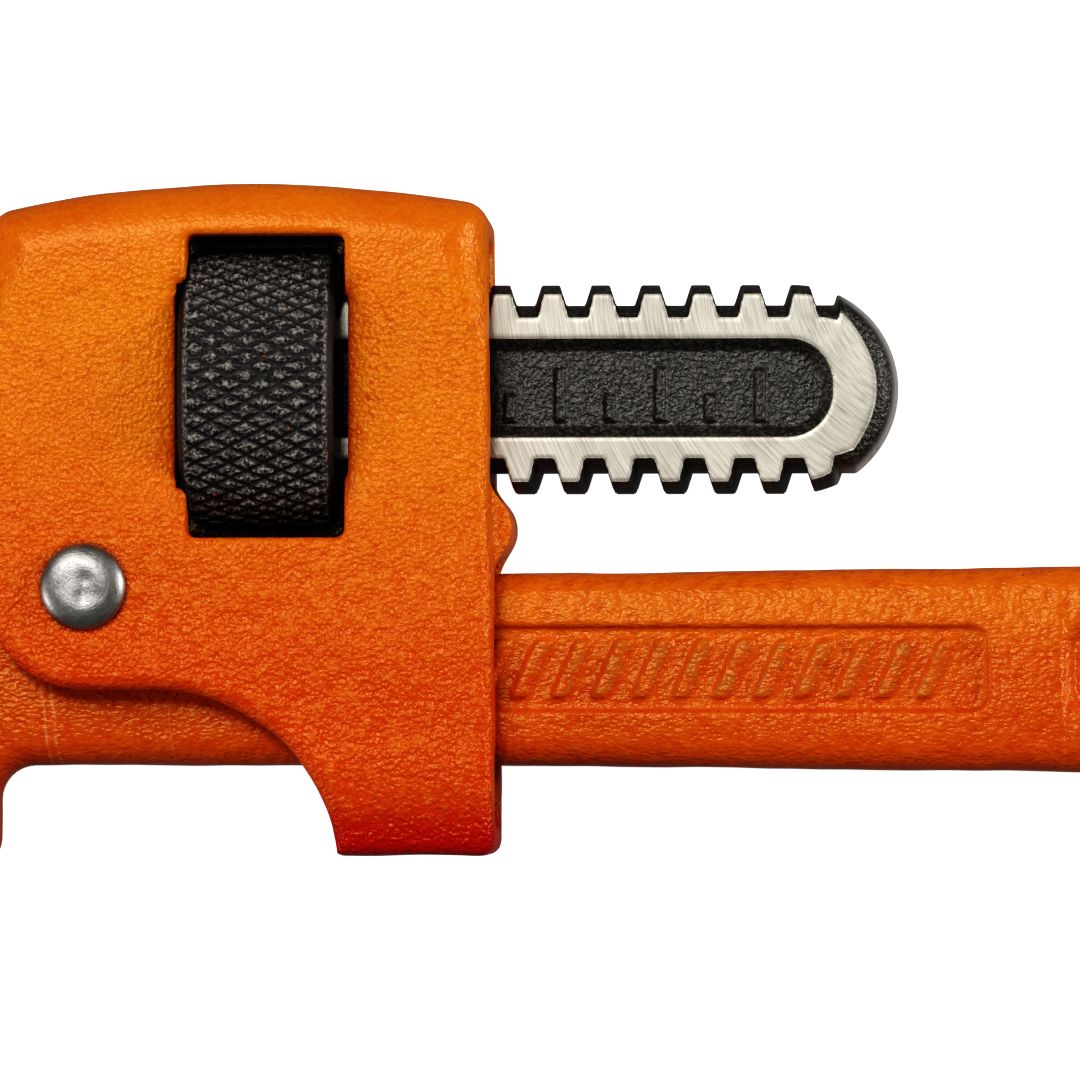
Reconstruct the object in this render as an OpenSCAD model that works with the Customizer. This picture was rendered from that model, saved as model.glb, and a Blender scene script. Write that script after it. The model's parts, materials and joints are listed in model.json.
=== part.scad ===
// Stillson-pattern pipe wrench, 300 mm size, lying flat on its side.
// All pieces are drawn about the shank's axis, which runs along X: the jaws are at -X, the handle
// runs to +X, the mouth opens towards -Y and the wrench is symmetrical about its middle plane.
// The laid() module then moves them so that the wrench rests on Z = 0, centred on the origin.

/* [Jaws] */
// Gap between the two tooth faces at rest
opening = 12; // [4:1:40]
// Width of both jaws across the teeth
jaw_w = 17; // [14:0.5:24]
// Distance from the front of the housing to the tooth face of the heel jaw
heel_reach = 18; // [14:1:30]
// Thickness of the hook jaw behind its tooth face
hook_back = 20; // [14:1:30]
// Depth of the hook below the shank's axis
hook_drop = 50; // [42:1:70]
// Depth of the heel jaw below the shank's axis
heel_drop = 48; // [42:1:68]
// Angle by which the hook's tooth face leans away from the heel jaw
hook_lean = 3; // [0:0.5:8]
// Distance from tooth to tooth on the jaws
tooth_pitch = 2.5; // [2:0.25:4]
// Depth of the jaw teeth
tooth_depth = 1.2; // [0.6:0.1:2]

/* [Shank thread] */
// Outer diameter of the thread
thread_d = 21; // [17:0.5:26]
// Lead of the single-start thread
thread_pitch = 5; // [4:0.25:6.5]
// Depth of the thread
thread_depth = 2.05; // [1.5:0.05:2.6]
// Width of the flat crest of each thread tooth
crest_w = 1.8; // [1.2:0.1:2.2]
// Width of the flat root of each thread groove
root_w = 1.9; // [1.2:0.1:2.2]
// Thickness of the shank between its two ground faces
shank_t = 9.4; // [7:0.2:14]
// Length of the shank behind the front of the housing
shank_len = 90.8; // [80:1:120]
// Height of the sunk panel in each face of the shank
panel_h = 9.9; // [6:0.1:12]
// Depth of the sunk panel
panel_depth = 1.2; // [0.5:0.1:2]

/* [Adjusting nut] */
// Wall of the nut outside the thread
nut_wall = 3.75; // [2.5:0.25:6]
// Width of the nut along the shank
nut_w = 15.5; // [12:0.5:22]
// Bevel on both edges of the nut
nut_bevel = 0.8; // [0.3:0.1:1.5]

/* [Housing] */
// Length of the housing along the shank
housing_len = 50.4; // [46:0.2:70]
// Thickness of each side wall
wall_t = 5.8; // [4:0.2:8]
// Distance from the front of the housing to the window
window_front = 20; // [16:0.5:26]
// Thickness of the roof above the nut
roof_t = 4.8; // [3:0.2:8]
// Radius of the crowned roof, seen from the side
crown_r = 120; // [80:5:200]
// Rounding of the roof's long edges
roof_edge_r = 5; // [2:0.5:7]
// Thickness of the floor below the handle
floor_t = 3; // [2:0.25:5]
// Length of the floor
floor_len = 15.5; // [12:0.5:20]
// Room for the flat spring between the handle and the floor
chamber_h = 6; // [5:0.25:9]
// Radius of the scoop in front of the floor
scoop_r = 18.2; // [14:0.2:22]

/* [Handle] */
// Overall length from the front of the housing to the handle's end
handle_len = 251; // [200:1:400]
// Thickness of the handle
handle_t = 10; // [8:0.2:14]
// Depth of the handle at the housing
handle_h = 19.2; // [16:0.2:26]
// Depth of the handle at its end
handle_end_h = 24; // [20:0.5:32]
// Diameter of the hanging hole
hang_hole_d = 9; // [6:0.5:12]
// Depth of the long recess that makes the handle an I-section
recess_depth = 2.2; // [1:0.1:3]
// Depth of the short panel beside the housing
badge_depth = 0.7; // [0.3:0.1:1.2]

/* [Pivot and springs] */
// Diameter of the pivot rivet
rivet_d = 7; // [5:0.25:9]
// Diameter of the rivet's domed heads
rivet_head_d = 8.6; // [7.5:0.1:13]
// Height of the rivet's domed heads
rivet_head_h = 1.9; // [1:0.1:3]
// Distance from the front of the housing to the pivot
pivot_front = 9.8; // [8:0.2:13]
// Thickness of the spring under the shank
jaw_spring_t = 0.7; // [0.5:0.05:0.8]
// Thickness of the spring under the handle
handle_spring_t = 1; // [0.6:0.1:1.2]
// Width of both flat springs
spring_w = 8; // [6:0.25:9]
// Diameter of the small rivets that hold the springs
spring_rivet_d = 2; // [1.5:0.1:3]

/* [Clearances] */
// Radial running clearance of the handle on the pivot rivet
pivot_fit = 0.05; // [0.02:0.01:0.1]
// Gap on each side between the handle and the housing's walls
side_gap = 0.2; // [0.1:0.05:0.5]
// Gap between the nut's thread and the shank's thread
thread_gap = 0.2; // [0.1:0.05:0.3]
// Room between the nut and the window's upper and lower edges
window_gap = 0.75; // [0.4:0.05:1.5]
// Radial room around the nut in its pocket
pocket_gap = 1.35; // [0.8:0.05:2]
// Room at the front of the nut, along the shank
nut_front_gap = 0.3; // [0.1:0.05:0.8]
// Room at the back of the nut, along the shank
nut_back_gap = 1.3; // [0.3:0.05:1.5]
// Room above the shank inside the housing
headroom = 4.3; // [2:0.1:6]
// Room for the flat spring between the shank and the handle's head
spring_room = 2; // [1.5:0.1:4]
// Room between the nut and the handle below it
nut_handle_gap = 4.25; // [3:0.25:8]

/* [Hidden] */
$fn = 72;
eps = 0.01;

// Along the shank, from the front of the housing
front_x = -1;
rear_x = front_x + housing_len;
window_x0 = front_x + window_front;
pocket_lip = 1;
pocket_x0 = window_x0 - pocket_lip;
nut_x0 = pocket_x0 + nut_front_gap;
nut_x1 = nut_x0 + nut_w;
pocket_x1 = nut_x1 + nut_back_gap;
window_x1 = pocket_x1 - 0.4;
pivot_x = front_x + pivot_front;
tip_x = front_x + shank_len;

// The thread, and the heights that follow from it
thread_r = thread_d / 2;
root_r = thread_r - thread_depth;
nut_r = thread_r + nut_wall;
nut_bore_r = thread_r + 0.25;
pocket_r = nut_r + pocket_gap;
cavity_top = thread_r + headroom;
crown_y = max(cavity_top, pocket_r) + roof_t;
lead_angle = atan(thread_pitch / (PI * (thread_r + root_r)));
groove_mouth_w = thread_pitch - crest_w;
flank = (groove_mouth_w - root_w) / 2 / thread_depth;

// The last groove on the upper side stands a little in front of the domed tip
last_groove_x = tip_x - 7.4;
first_groove_x = front_x + 9;
groove_count = floor((last_groove_x - first_groove_x) / thread_pitch) + 1;

// The handle, below the shank
head_top = -(thread_r + spring_room);
pivot_y = head_top - 7.5;
handle_top = -(nut_r + nut_handle_gap);
handle_bottom = handle_top - handle_h;
handle_mid = (handle_top + handle_bottom) / 2;
handle_end_x = front_x + handle_len;
end_r = handle_end_h / 2;
hang_x = handle_end_x - end_r - 1;
head_x1 = pocket_x0 - 2;
head_slope = 3.5;

// The housing, around both
cavity_w = handle_t + 2 * side_gap;
housing_t = cavity_w + 2 * wall_t;
floor_y = handle_bottom - chamber_h;
housing_bottom = floor_y - floor_t;
lobe_r = pivot_x - front_x + 0.4;
lobe_bottom = pivot_y - lobe_r;
toe_x = rear_x - floor_len;
scoop_y = lobe_bottom - scoop_r;
scoop_x = toe_x - sqrt(scoop_r * scoop_r - pow(housing_bottom - scoop_y, 2));
crown_x = (front_x + rear_x) / 2 + 1.5;
web_top = thread_r + 0.4;
web_bottom = -handle_top - 0.8;
web_len = 6;
web_nose = 2;

// The jaws
heel_x0 = front_x - heel_reach;
heel_x1 = front_x - 1.5;
heel_back_x = front_x + 0.7;
heel_top = head_top - 1.5;
heel_corner = 4;
hook_face_x = heel_x0 - opening;
hook_x0 = hook_face_x - hook_back;
throat_r = 8;
neck_y = thread_r - 0.3;
hook_back_r = min(17, hook_back - 2);

// The springs
jaw_spring_x1 = head_x1;
jaw_spring_hold = 5.5;
jaw_spring_lift = spring_room - jaw_spring_t - 0.25;
handle_spring_x0 = toe_x + 0.4;
handle_spring_hold = 5;
handle_spring_x1 = rear_x - 1;
handle_spring_drop = chamber_h - handle_spring_t - 0.15;
spring_rivet_len = 4;
spring_rivet_head_h = 0.5;

// Where the wrench lies: centred on the origin, with the nut on Z = 0
low_y = min(housing_bottom, -hook_drop, -heel_drop);
high_y = max(crown_y, neck_y + 0.6);
offset_x = -(hook_x0 + handle_end_x) / 2;
offset_y = -(low_y + high_y) / 2;

// Points of an arc about a centre, from one angle to another
function arc(x, y, r, from, to, steps = 10) =
    [for (i = [0 : steps]) let (a = from + (to - from) * i / steps) [x + r * cos(a), y + r * sin(a)]];

// Half the handle's depth at a place along it
function handle_half(x) =
    let (t = (x - rear_x) / (handle_end_x - end_r - rear_x)) (handle_h + (handle_end_h - handle_h) * t) / 2;

// Moves a piece from the shank's axis to where the wrench lies
module laid() {
    translate([offset_x, offset_y, nut_r]) children();
}

// A plate about the middle plane, from a plan
module plate(thickness) {
    translate([0, 0, -thickness / 2]) linear_extrude(thickness) children();
}

// A wall across the plan whose thickness changes along X, from [x, half thickness] pairs
module thickness_law(pairs, low, high) {
    sides = concat(pairs, [for (i = [len(pairs) - 1 : -1 : 0]) [pairs[i][0], -pairs[i][1]]]);
    translate([0, high, 0]) rotate([90, 0, 0]) linear_extrude(high - low) polygon(sides);
}

// A slot with round ends, centred on Y = y
module slot(x0, x1, y, h) {
    translate([x0 + h / 2, y - h / 2]) square([x1 - x0 - h, h]);
    translate([x0 + h / 2, y]) circle(d = h);
    translate([x1 - h / 2, y]) circle(d = h);
}

// A box with round corners, seen in plan
module soft_box(x0, x1, y0, y1, r) {
    translate([x0 + r, y0]) square([x1 - x0 - 2 * r, y1 - y0]);
    translate([x0, y0 + r]) square([x1 - x0, y1 - y0 - 2 * r]);
    for (x = [x0 + r, x1 - r], y = [y0 + r, y1 - r]) translate([x, y]) circle(r = r);
}

// A row of notches across a tooth face that runs down from the origin and faces +X
module tooth_notches(count, width) {
    for (i = [0 : count - 1])
        translate([0, -tooth_pitch * (i + 0.5), 0]) plate(width)
            polygon([[-tooth_depth, 0], [tooth_depth, tooth_pitch * 0.9], [tooth_depth, -tooth_pitch * 0.9]]);
}

// Plan of the handle with its heel jaw
module handle_plan() {
    fillet = 3.5;
    corner = 3;
    end_mid_x = handle_end_x - end_r;
    polygon(concat(
        arc(heel_x0 + heel_corner, heel_top - heel_corner, heel_corner, 180, 90, 6),
        [[heel_x1 - 3, heel_top], [heel_x1, head_top], [head_x1, head_top],
            [head_x1 + head_slope, handle_top + 1.5], [head_x1 + head_slope + 3, handle_top],
            [rear_x, handle_mid + handle_half(rear_x)]],
        arc(end_mid_x, handle_mid, end_r, 90, -90, 24),
        [[rear_x, handle_mid - handle_half(rear_x)]],
        arc(heel_back_x + fillet, handle_bottom - fillet, fillet, 90, 180, 5),
        arc(heel_back_x - corner, -heel_drop + corner, corner, 0, -90, 5),
        [[heel_x0 + corner, -heel_drop], [heel_x0, -heel_drop + corner]]));
}

// Plan of the long recess in the handle's side
module recess_plan() {
    rim = 6.2;
    x0 = rear_x + 58;
    x1 = hang_x - hang_hole_d / 2 - 14;
    h0 = handle_half(x0) - rim;
    h1 = handle_half(x1) - rim;
    polygon(concat([[x0, handle_mid - h0], [x0 + 2, handle_mid - h0 - 0.5]],
        arc(x1, handle_mid, h1, -90, 90, 12),
        [[x0 + 2, handle_mid + h0 + 0.5], [x0, handle_mid + h0]]));
}

// Raised ribs on the floor of the handle's short panel, for the thumb
module badge_ribs(x0, x1) {
    rib_count = 8;
    rib_gap = (x1 - x0) / rib_count;
    lean = 1.6;
    for (i = [0 : rib_count - 1])
        translate([x0 + rib_gap * (i + 0.5), handle_mid])
            polygon([[-1.4 - lean, -2.4], [1.4 - lean, -2.4], [1.4 + lean, 2.4], [-1.4 + lean, 2.4]]);
}

// The forged handle with the fixed heel jaw at its front end
module handle() {
    badge_x0 = toe_x + 2;
    badge_x1 = rear_x + 49;
    badge_h = 8;
    teeth = floor((heel_drop + heel_top - heel_corner - 1) / tooth_pitch);
    color("orangered") laid() difference() {
        intersection() {
            plate(jaw_w) handle_plan();
            thickness_law([[heel_x0 - 1, jaw_w / 2], [heel_x1 - 3.5, jaw_w / 2], [heel_x1, handle_t / 2],
                [handle_end_x + 1, handle_t / 2]], -heel_drop - 1, head_top + 1);
        }
        translate([pivot_x, pivot_y, 0])
            cylinder(d = rivet_d + 2 * pivot_fit, h = 2 * jaw_w, center = true);
        translate([hang_x, handle_mid, 0]) cylinder(d = hang_hole_d, h = 2 * jaw_w, center = true);
        for (side = [-1, 1]) {
            translate([0, 0, side * handle_t / 2]) plate(2 * recess_depth) recess_plan();
            translate([0, 0, side * handle_t / 2]) plate(2 * badge_depth) difference() {
                soft_box(badge_x0, badge_x1, handle_mid - badge_h / 2, handle_mid + badge_h / 2, 1.8);
                badge_ribs(badge_x0 + 3, badge_x1 - 3);
            }
        }
        translate([heel_x0, heel_top - heel_corner, 0]) mirror([1, 0, 0]) tooth_notches(teeth, 2 * jaw_w);
        translate([jaw_spring_x1 - jaw_spring_hold / 2, head_top, 0]) rotate([90, 0, 0])
            translate([0, 0, -eps]) cylinder(d = spring_rivet_d, h = spring_rivet_len + eps, $fn = 32);
        translate([handle_spring_x0 + handle_spring_hold / 2, handle_bottom, 0]) rotate([-90, 0, 0])
            translate([0, 0, -1]) cylinder(d = spring_rivet_d, h = spring_rivet_len + 1, $fn = 32);
    }
}

// Plan of the housing's outer shape, below its crowned roof
module housing_plan() {
    corner = 1.5;
    difference() {
        union() {
            translate([front_x, pivot_y]) square([housing_len, crown_y - pivot_y + 1]);
            translate([pivot_x, lobe_bottom]) square([rear_x - pivot_x, pivot_y - lobe_bottom + 1]);
            translate([pivot_x, pivot_y]) circle(r = lobe_r);
            translate([scoop_x, housing_bottom + corner])
                square([rear_x - scoop_x, lobe_bottom - housing_bottom + 1]);
            translate([scoop_x, housing_bottom]) square([rear_x - corner - scoop_x, corner + 1]);
            translate([rear_x - corner, housing_bottom + corner]) circle(r = corner);
        }
        translate([scoop_x, scoop_y]) circle(r = scoop_r, $fn = 120);
        translate([scoop_x - scoop_r, housing_bottom - 1])
            square([scoop_r, scoop_y - housing_bottom + 1 + eps]);
    }
}

// The crowned roof with its rounded long edges, as a ring about the crown's centre
module crown_ring() {
    r = roof_edge_r;
    half = housing_t / 2;
    top = crown_r;
    low = crown_r - (crown_y - housing_bottom) - 12;
    translate([crown_x, crown_y - crown_r, 0]) rotate_extrude($fn = 360)
        polygon(concat([[low, -half]], arc(top - r, -half + r, r, -90, 0, 8),
            arc(top - r, half - r, r, 0, 90, 8), [[low, half]]));
}

// The bridge between the walls, behind the nut and between the shank and the handle
module bridge() {
    nose_r = web_nose;
    translate([0, 0, -cavity_w / 2 - 1]) linear_extrude(cavity_w + 2) {
        translate([rear_x - web_len, -web_bottom]) square([web_len, web_bottom - thread_r + 1]);
        translate([rear_x, -web_bottom + nose_r]) square([nose_r, web_bottom - web_top - 2 * nose_r + 0.6]);
        translate([rear_x, -web_bottom + nose_r]) circle(r = nose_r);
        translate([rear_x, -web_top - nose_r + 0.6]) circle(r = nose_r);
    }
}

// The forged housing that holds the nut, guides the shank and rocks on the handle
module housing() {
    nose = 3;
    color("darkorange") laid() difference() {
        union() {
            difference() {
                intersection() {
                    plate(housing_t) housing_plan();
                    crown_ring();
                }
                translate([front_x - nose, floor_y, -cavity_w / 2])
                    cube([housing_len + 2 * nose, cavity_top - floor_y, cavity_w]);
            }
            bridge();
        }
        rotate([0, 90, 0]) translate([0, 0, rear_x - web_len - nose])
            cylinder(r = web_top, h = web_len + 3 * nose);
        translate([pocket_x0, 0, 0]) rotate([0, 90, 0]) cylinder(r = pocket_r, h = pocket_x1 - pocket_x0);
        plate(2 * housing_t) soft_box(window_x0, window_x1, -nut_r - window_gap, nut_r + window_gap, 1);
        translate([pivot_x, pivot_y, 0]) cylinder(d = rivet_d, h = 2 * housing_t, center = true);
    }
}

// One groove of the thread on the upper (+1) or lower (-1) side of the shank
module thread_groove(x, side) {
    span = 110;
    over = 0.6;
    mouth = root_w / 2 + flank * (thread_depth + over);
    translate([x, 0, 0]) rotate([0, side * lead_angle, 0]) rotate([0, 90, 0])
        rotate([0, 0, 90 * side - span / 2]) rotate_extrude(angle = span)
            polygon([[root_r, -root_w / 2], [thread_r + over, -mouth], [thread_r + over, mouth],
                [root_r, root_w / 2]]);
}

// Plan of the hook and the neck that joins it to the shank
module hook_plan() {
    corner = 5;
    lean = tan(hook_lean);
    throat_y = -neck_y - throat_r;
    tip_face_x = hook_face_x - lean * (hook_drop + throat_y);
    polygon(concat(
        [[front_x - 4, -neck_y]],
        arc(hook_face_x + throat_r, throat_y, throat_r, 90, 180, 8),
        [[tip_face_x, -hook_drop + 1.5], [tip_face_x - 1.5, -hook_drop]],
        arc(hook_x0 + corner + 2, -hook_drop + corner, corner, -90, -165, 5),
        [[hook_x0, -hook_drop + 16]],
        arc(hook_x0 + hook_back_r, neck_y + 0.6 - hook_back_r, hook_back_r, 180, 90, 12),
        [[hook_x0 + hook_back_r + 6, neck_y + 0.6], [front_x - 4, neck_y]]));
}

// Ticks of the opening scale that stand on the floor of the shank's panel
module scale_ticks(x0, x1) {
    tick_gap = 5;
    tick_w = 1;
    for (i = [0 : floor((x1 - x0) / tick_gap)]) {
        tall = i % 2 == 0 ? 5 : 3;
        translate([x0 + tick_gap * i - tick_w / 2, -panel_h / 2 - 1]) square([tick_w, tall]);
    }
}

// The hook jaw: a forged hook on a flat-sided shank with a coarse thread
module hook_jaw() {
    panel_x0 = front_x + 11;
    panel_x1 = tip_x - 6.5;
    shank_x0 = front_x - 6;
    teeth = floor((hook_drop - neck_y - throat_r - 3) / tooth_pitch);
    tick_h = 0.6;
    color("dimgray") laid() difference() {
        union() {
            intersection() {
                plate(jaw_w) hook_plan();
                thickness_law([[hook_x0 - 1, jaw_w / 2], [hook_face_x + 3, jaw_w / 2],
                    [hook_face_x + 11, shank_t / 2], [front_x, shank_t / 2]], -hook_drop - 1, thread_r + 1);
            }
            intersection() {
                union() {
                    translate([shank_x0, 0, 0]) rotate([0, 90, 0])
                        cylinder(r = thread_r, h = tip_x - thread_r - shank_x0);
                    translate([tip_x - thread_r, 0, 0]) rotate([0, 90, 0]) sphere(r = thread_r);
                }
                translate([shank_x0, -thread_r - 1, -shank_t / 2])
                    cube([tip_x + 1 - shank_x0, 2 * thread_r + 2, shank_t]);
            }
        }
        for (i = [0 : groove_count - 1]) {
            thread_groove(last_groove_x - i * thread_pitch, 1);
            thread_groove(last_groove_x + thread_pitch / 2 - i * thread_pitch, -1);
        }
        for (side = [-1, 1])
            translate([0, 0, side * shank_t / 2]) difference() {
                plate(2 * panel_depth) slot(panel_x0, panel_x1, 0, panel_h);
                translate([0, 0, -side * panel_depth]) plate(2 * tick_h)
                    scale_ticks(panel_x0 + 6, panel_x1 - 6);
            }
        translate([hook_face_x, -neck_y - throat_r, 0]) rotate([0, 0, -hook_lean])
            tooth_notches(teeth, 2 * jaw_w);
    }
}

// The single helical ridge inside the nut, in mesh with the shank's grooves
module nut_thread() {
    per_turn = 32;
    inner_r = root_r + thread_gap;
    outer_r = nut_bore_r + 0.5;
    inner_half = root_w / 2 + flank * thread_gap - thread_gap;
    outer_half = inner_half + flank * (outer_r - inner_r);
    margin = outer_half + 0.3;
    turns = (nut_w - 2 * margin) / thread_pitch;
    rings = floor(turns * per_turn);
    start_x = nut_x0 + margin;
    start_angle = 360 * (start_x - last_groove_x) / thread_pitch;
    profile = [[inner_r, -inner_half], [outer_r, -outer_half], [outer_r, outer_half], [inner_r, inner_half]];
    points = [for (i = [0 : rings], p = profile)
        let (a = start_angle + 360 * i / per_turn)
        [start_x + thread_pitch * i / per_turn + p[1], p[0] * cos(a), p[0] * sin(a)]];
    walls = [for (i = [0 : rings - 1], j = [0 : 3])
        let (k = 4 * i + j, n = 4 * i + (j + 1) % 4) each [[k, n, n + 4], [k, n + 4, k + 4]]];
    last = 4 * rings;
    polyhedron(points, concat([[3, 2, 1, 0]], walls, [[last, last + 1, last + 2, last + 3]]), convexity = 8);
}

// The nut that moves the hook jaw, with its knurl's outer size
module adjusting_nut() {
    b = nut_bevel;
    color("black") laid() union() {
        rotate([0, 90, 0]) rotate_extrude($fn = 96)
            polygon([[nut_bore_r, nut_x0], [nut_r - b, nut_x0], [nut_r, nut_x0 + b], [nut_r, nut_x1 - b],
                [nut_r - b, nut_x1], [nut_bore_r, nut_x1]]);
        nut_thread();
    }
}

// A domed head that stands on Z = 0
module rivet_head(d, h) {
    r = (d * d / 4 + h * h) / (2 * h);
    intersection() {
        translate([0, 0, h - r]) sphere(r = r);
        cylinder(d = d, h = h + 1);
    }
}

// The rivet on which the handle turns, peened over both walls
module pivot_rivet() {
    color("silver") laid() translate([pivot_x, pivot_y, 0]) {
        cylinder(d = rivet_d, h = housing_t, center = true);
        for (side = [0, 1]) mirror([0, 0, side])
            translate([0, 0, housing_t / 2]) rivet_head(rivet_head_d, rivet_head_h);
    }
}

// A leaf spring seen from the side: flat where it is held, then bending by a parabola
module leaf(x0, length, hold, lift, t) {
    steps = 10;
    bend = length - hold;
    curve = [for (i = [0 : steps]) [hold + bend * i / steps, lift * pow(i / steps, 2)]];
    back = [for (i = [steps : -1 : 0]) [hold + bend * i / steps, lift * pow(i / steps, 2) + t]];
    translate([x0, 0]) polygon(concat([[0, 0]], curve, back, [[0, t]]));
}

// The flat spring on the handle's head that lifts the shank
module jaw_spring() {
    length = jaw_spring_x1 - front_x;
    color("dimgray") laid() difference() {
        plate(spring_w) translate([jaw_spring_x1, head_top]) mirror([1, 0])
            leaf(0, length, jaw_spring_hold, jaw_spring_lift, jaw_spring_t);
        translate([jaw_spring_x1 - jaw_spring_hold / 2, head_top, 0]) rotate([90, 0, 0])
            cylinder(d = spring_rivet_d, h = 6, center = true, $fn = 32);
    }
}

// The flat spring under the handle that holds the housing down
module handle_spring() {
    length = handle_spring_x1 - handle_spring_x0;
    color("dimgray") laid() difference() {
        plate(spring_w) translate([handle_spring_x0, handle_bottom]) mirror([0, 1])
            leaf(0, length, handle_spring_hold, handle_spring_drop, handle_spring_t);
        translate([handle_spring_x0 + handle_spring_hold / 2, handle_bottom, 0]) rotate([90, 0, 0])
            cylinder(d = spring_rivet_d, h = 6, center = true, $fn = 32);
    }
}

// A small rivet that holds a leaf of thickness t, pointing down from the leaf's outer face
module small_rivet(t) {
    cylinder(d = spring_rivet_d, h = spring_rivet_len + t, $fn = 32);
    translate([0, 0, spring_rivet_len + t])
        cylinder(d1 = 1.7 * spring_rivet_d, d2 = spring_rivet_d, h = spring_rivet_head_h, $fn = 32);
}

// The rivet of the spring under the shank
module jaw_spring_rivet() {
    color("silver") laid()
        translate([jaw_spring_x1 - jaw_spring_hold / 2, head_top - spring_rivet_len, 0])
            rotate([-90, 0, 0]) small_rivet(jaw_spring_t);
}

// The rivet of the spring under the handle
module handle_spring_rivet() {
    color("silver") laid()
        translate([handle_spring_x0 + handle_spring_hold / 2, handle_bottom + spring_rivet_len, 0])
            rotate([90, 0, 0]) small_rivet(handle_spring_t);
}

handle();
housing();
hook_jaw();
adjusting_nut();
pivot_rivet();
jaw_spring();
jaw_spring_rivet();
handle_spring();
handle_spring_rivet();
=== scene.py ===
"""Looks of a 300 mm Stillson-pattern pipe wrench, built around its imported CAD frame.

Every shape is described in millimetres about the axis of the threaded shank: X runs from the jaws to
the handle's end, Y points away from the mouth, and Z = 0 is the wrench's middle plane. The forged pieces
are distance fields that a surface mesher turns into meshes, and the turned pieces are rings of points.
"""

import json
import logging
import math
from collections.abc import Callable, Sequence
from dataclasses import dataclass
from enum import Enum
from functools import cached_property

import bpy
import numpy as np
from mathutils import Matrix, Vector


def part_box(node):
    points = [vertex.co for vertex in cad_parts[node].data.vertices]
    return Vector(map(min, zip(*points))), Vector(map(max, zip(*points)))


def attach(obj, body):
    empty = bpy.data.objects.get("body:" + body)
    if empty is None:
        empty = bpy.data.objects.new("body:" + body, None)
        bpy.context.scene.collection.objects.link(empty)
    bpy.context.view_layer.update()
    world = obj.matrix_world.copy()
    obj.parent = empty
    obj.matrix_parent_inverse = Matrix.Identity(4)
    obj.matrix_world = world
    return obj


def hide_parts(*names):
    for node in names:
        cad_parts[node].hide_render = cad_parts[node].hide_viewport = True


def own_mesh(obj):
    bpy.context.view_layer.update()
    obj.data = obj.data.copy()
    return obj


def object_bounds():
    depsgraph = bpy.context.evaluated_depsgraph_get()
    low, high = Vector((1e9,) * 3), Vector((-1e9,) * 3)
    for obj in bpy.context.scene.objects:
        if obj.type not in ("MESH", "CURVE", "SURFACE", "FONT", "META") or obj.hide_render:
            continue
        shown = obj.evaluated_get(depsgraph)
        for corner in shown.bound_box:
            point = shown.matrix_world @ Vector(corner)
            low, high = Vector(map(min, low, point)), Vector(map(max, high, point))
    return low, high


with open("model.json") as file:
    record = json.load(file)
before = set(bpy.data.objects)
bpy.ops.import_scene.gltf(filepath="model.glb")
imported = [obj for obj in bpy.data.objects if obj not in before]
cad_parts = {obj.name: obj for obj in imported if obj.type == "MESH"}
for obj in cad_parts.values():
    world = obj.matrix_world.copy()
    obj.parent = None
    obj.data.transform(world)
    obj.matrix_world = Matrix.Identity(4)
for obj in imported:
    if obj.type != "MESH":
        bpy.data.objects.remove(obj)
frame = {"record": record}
cad_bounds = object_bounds()

log = logging.getLogger("pipe_wrench")

Array = np.ndarray
Points = list[tuple[float, float]]
Distance = Callable[[Array, Array, Array], Array]
Colour = tuple[float, float, float]

MM = 0.001


# ---------------------------------------------------------------- where things are


@dataclass(frozen=True)
class Layout:
    """Places the wrench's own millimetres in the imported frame.

    The shank's axis and the pivot come from the frame's joints, and pivot_x and pivot_y are the pivot's
    place in the wrench's own millimetres.
    """

    pivot_x: float = 8.8
    pivot_y: float = -20.0

    def joint(self, name: str) -> Array:
        """Returns a joint's place in the frame, in millimetres.

        Args:
            name: The joint's name.

        Returns:
            The joint's position as an array of three numbers.
        """
        found = next(j for j in frame["record"]["behaviour"]["joints"] if j["name"] == name)
        return np.array(found["pos_m"]) / MM

    @property
    def origin(self) -> Array:
        """The wrench's own origin in the frame, in millimetres."""
        axis = self.joint("nut_turn")
        return np.array([self.joint("housing_pivot")[0] - self.pivot_x, axis[1], axis[2]])

    def to_frame(self, points: Array) -> Array:
        """Moves points from the wrench's own millimetres to the frame's metres."""
        return (points + self.origin) * MM

    def box(self, node: str) -> tuple[Array, Array]:
        """Returns a CAD node's lowest and highest corners in the wrench's own millimetres."""
        low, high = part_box(node)
        return np.array(low) / MM - self.origin, np.array(high) / MM - self.origin


# ---------------------------------------------------------------- distance fields


def rounded_max(a: Array, b: Array, r: float | Array) -> Array:
    """Joins two distances as an intersection whose edge is rounded.

    Args:
        a: Signed distance to the first shape, negative inside.
        b: Signed distance to the second shape.
        r: Radius of the rounded edge.

    Returns:
        Signed distance to the common part.
    """
    return np.minimum(np.maximum(a, b), -r) + np.hypot(np.maximum(a + r, 0), np.maximum(b + r, 0))


def blend(value: Array, low: float, high: float) -> Array:
    """Returns a smooth step that is 0 at low and 1 at high."""
    t = np.clip((value - low) / (high - low), 0, 1)
    return t * t * (3 - 2 * t)


def arc(x: float, y: float, r: float, start: float, end: float, steps: int = 12) -> Points:
    """Lists points on an arc.

    Args:
        x: Centre along X.
        y: Centre along Y.
        r: Radius.
        start: First angle in degrees.
        end: Last angle in degrees.
        steps: Number of stretches.

    Returns:
        The points in order.
    """
    angles = [math.radians(start + (end - start) * i / steps) for i in range(steps + 1)]
    return [(x + r * math.cos(a), y + r * math.sin(a)) for a in angles]


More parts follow.
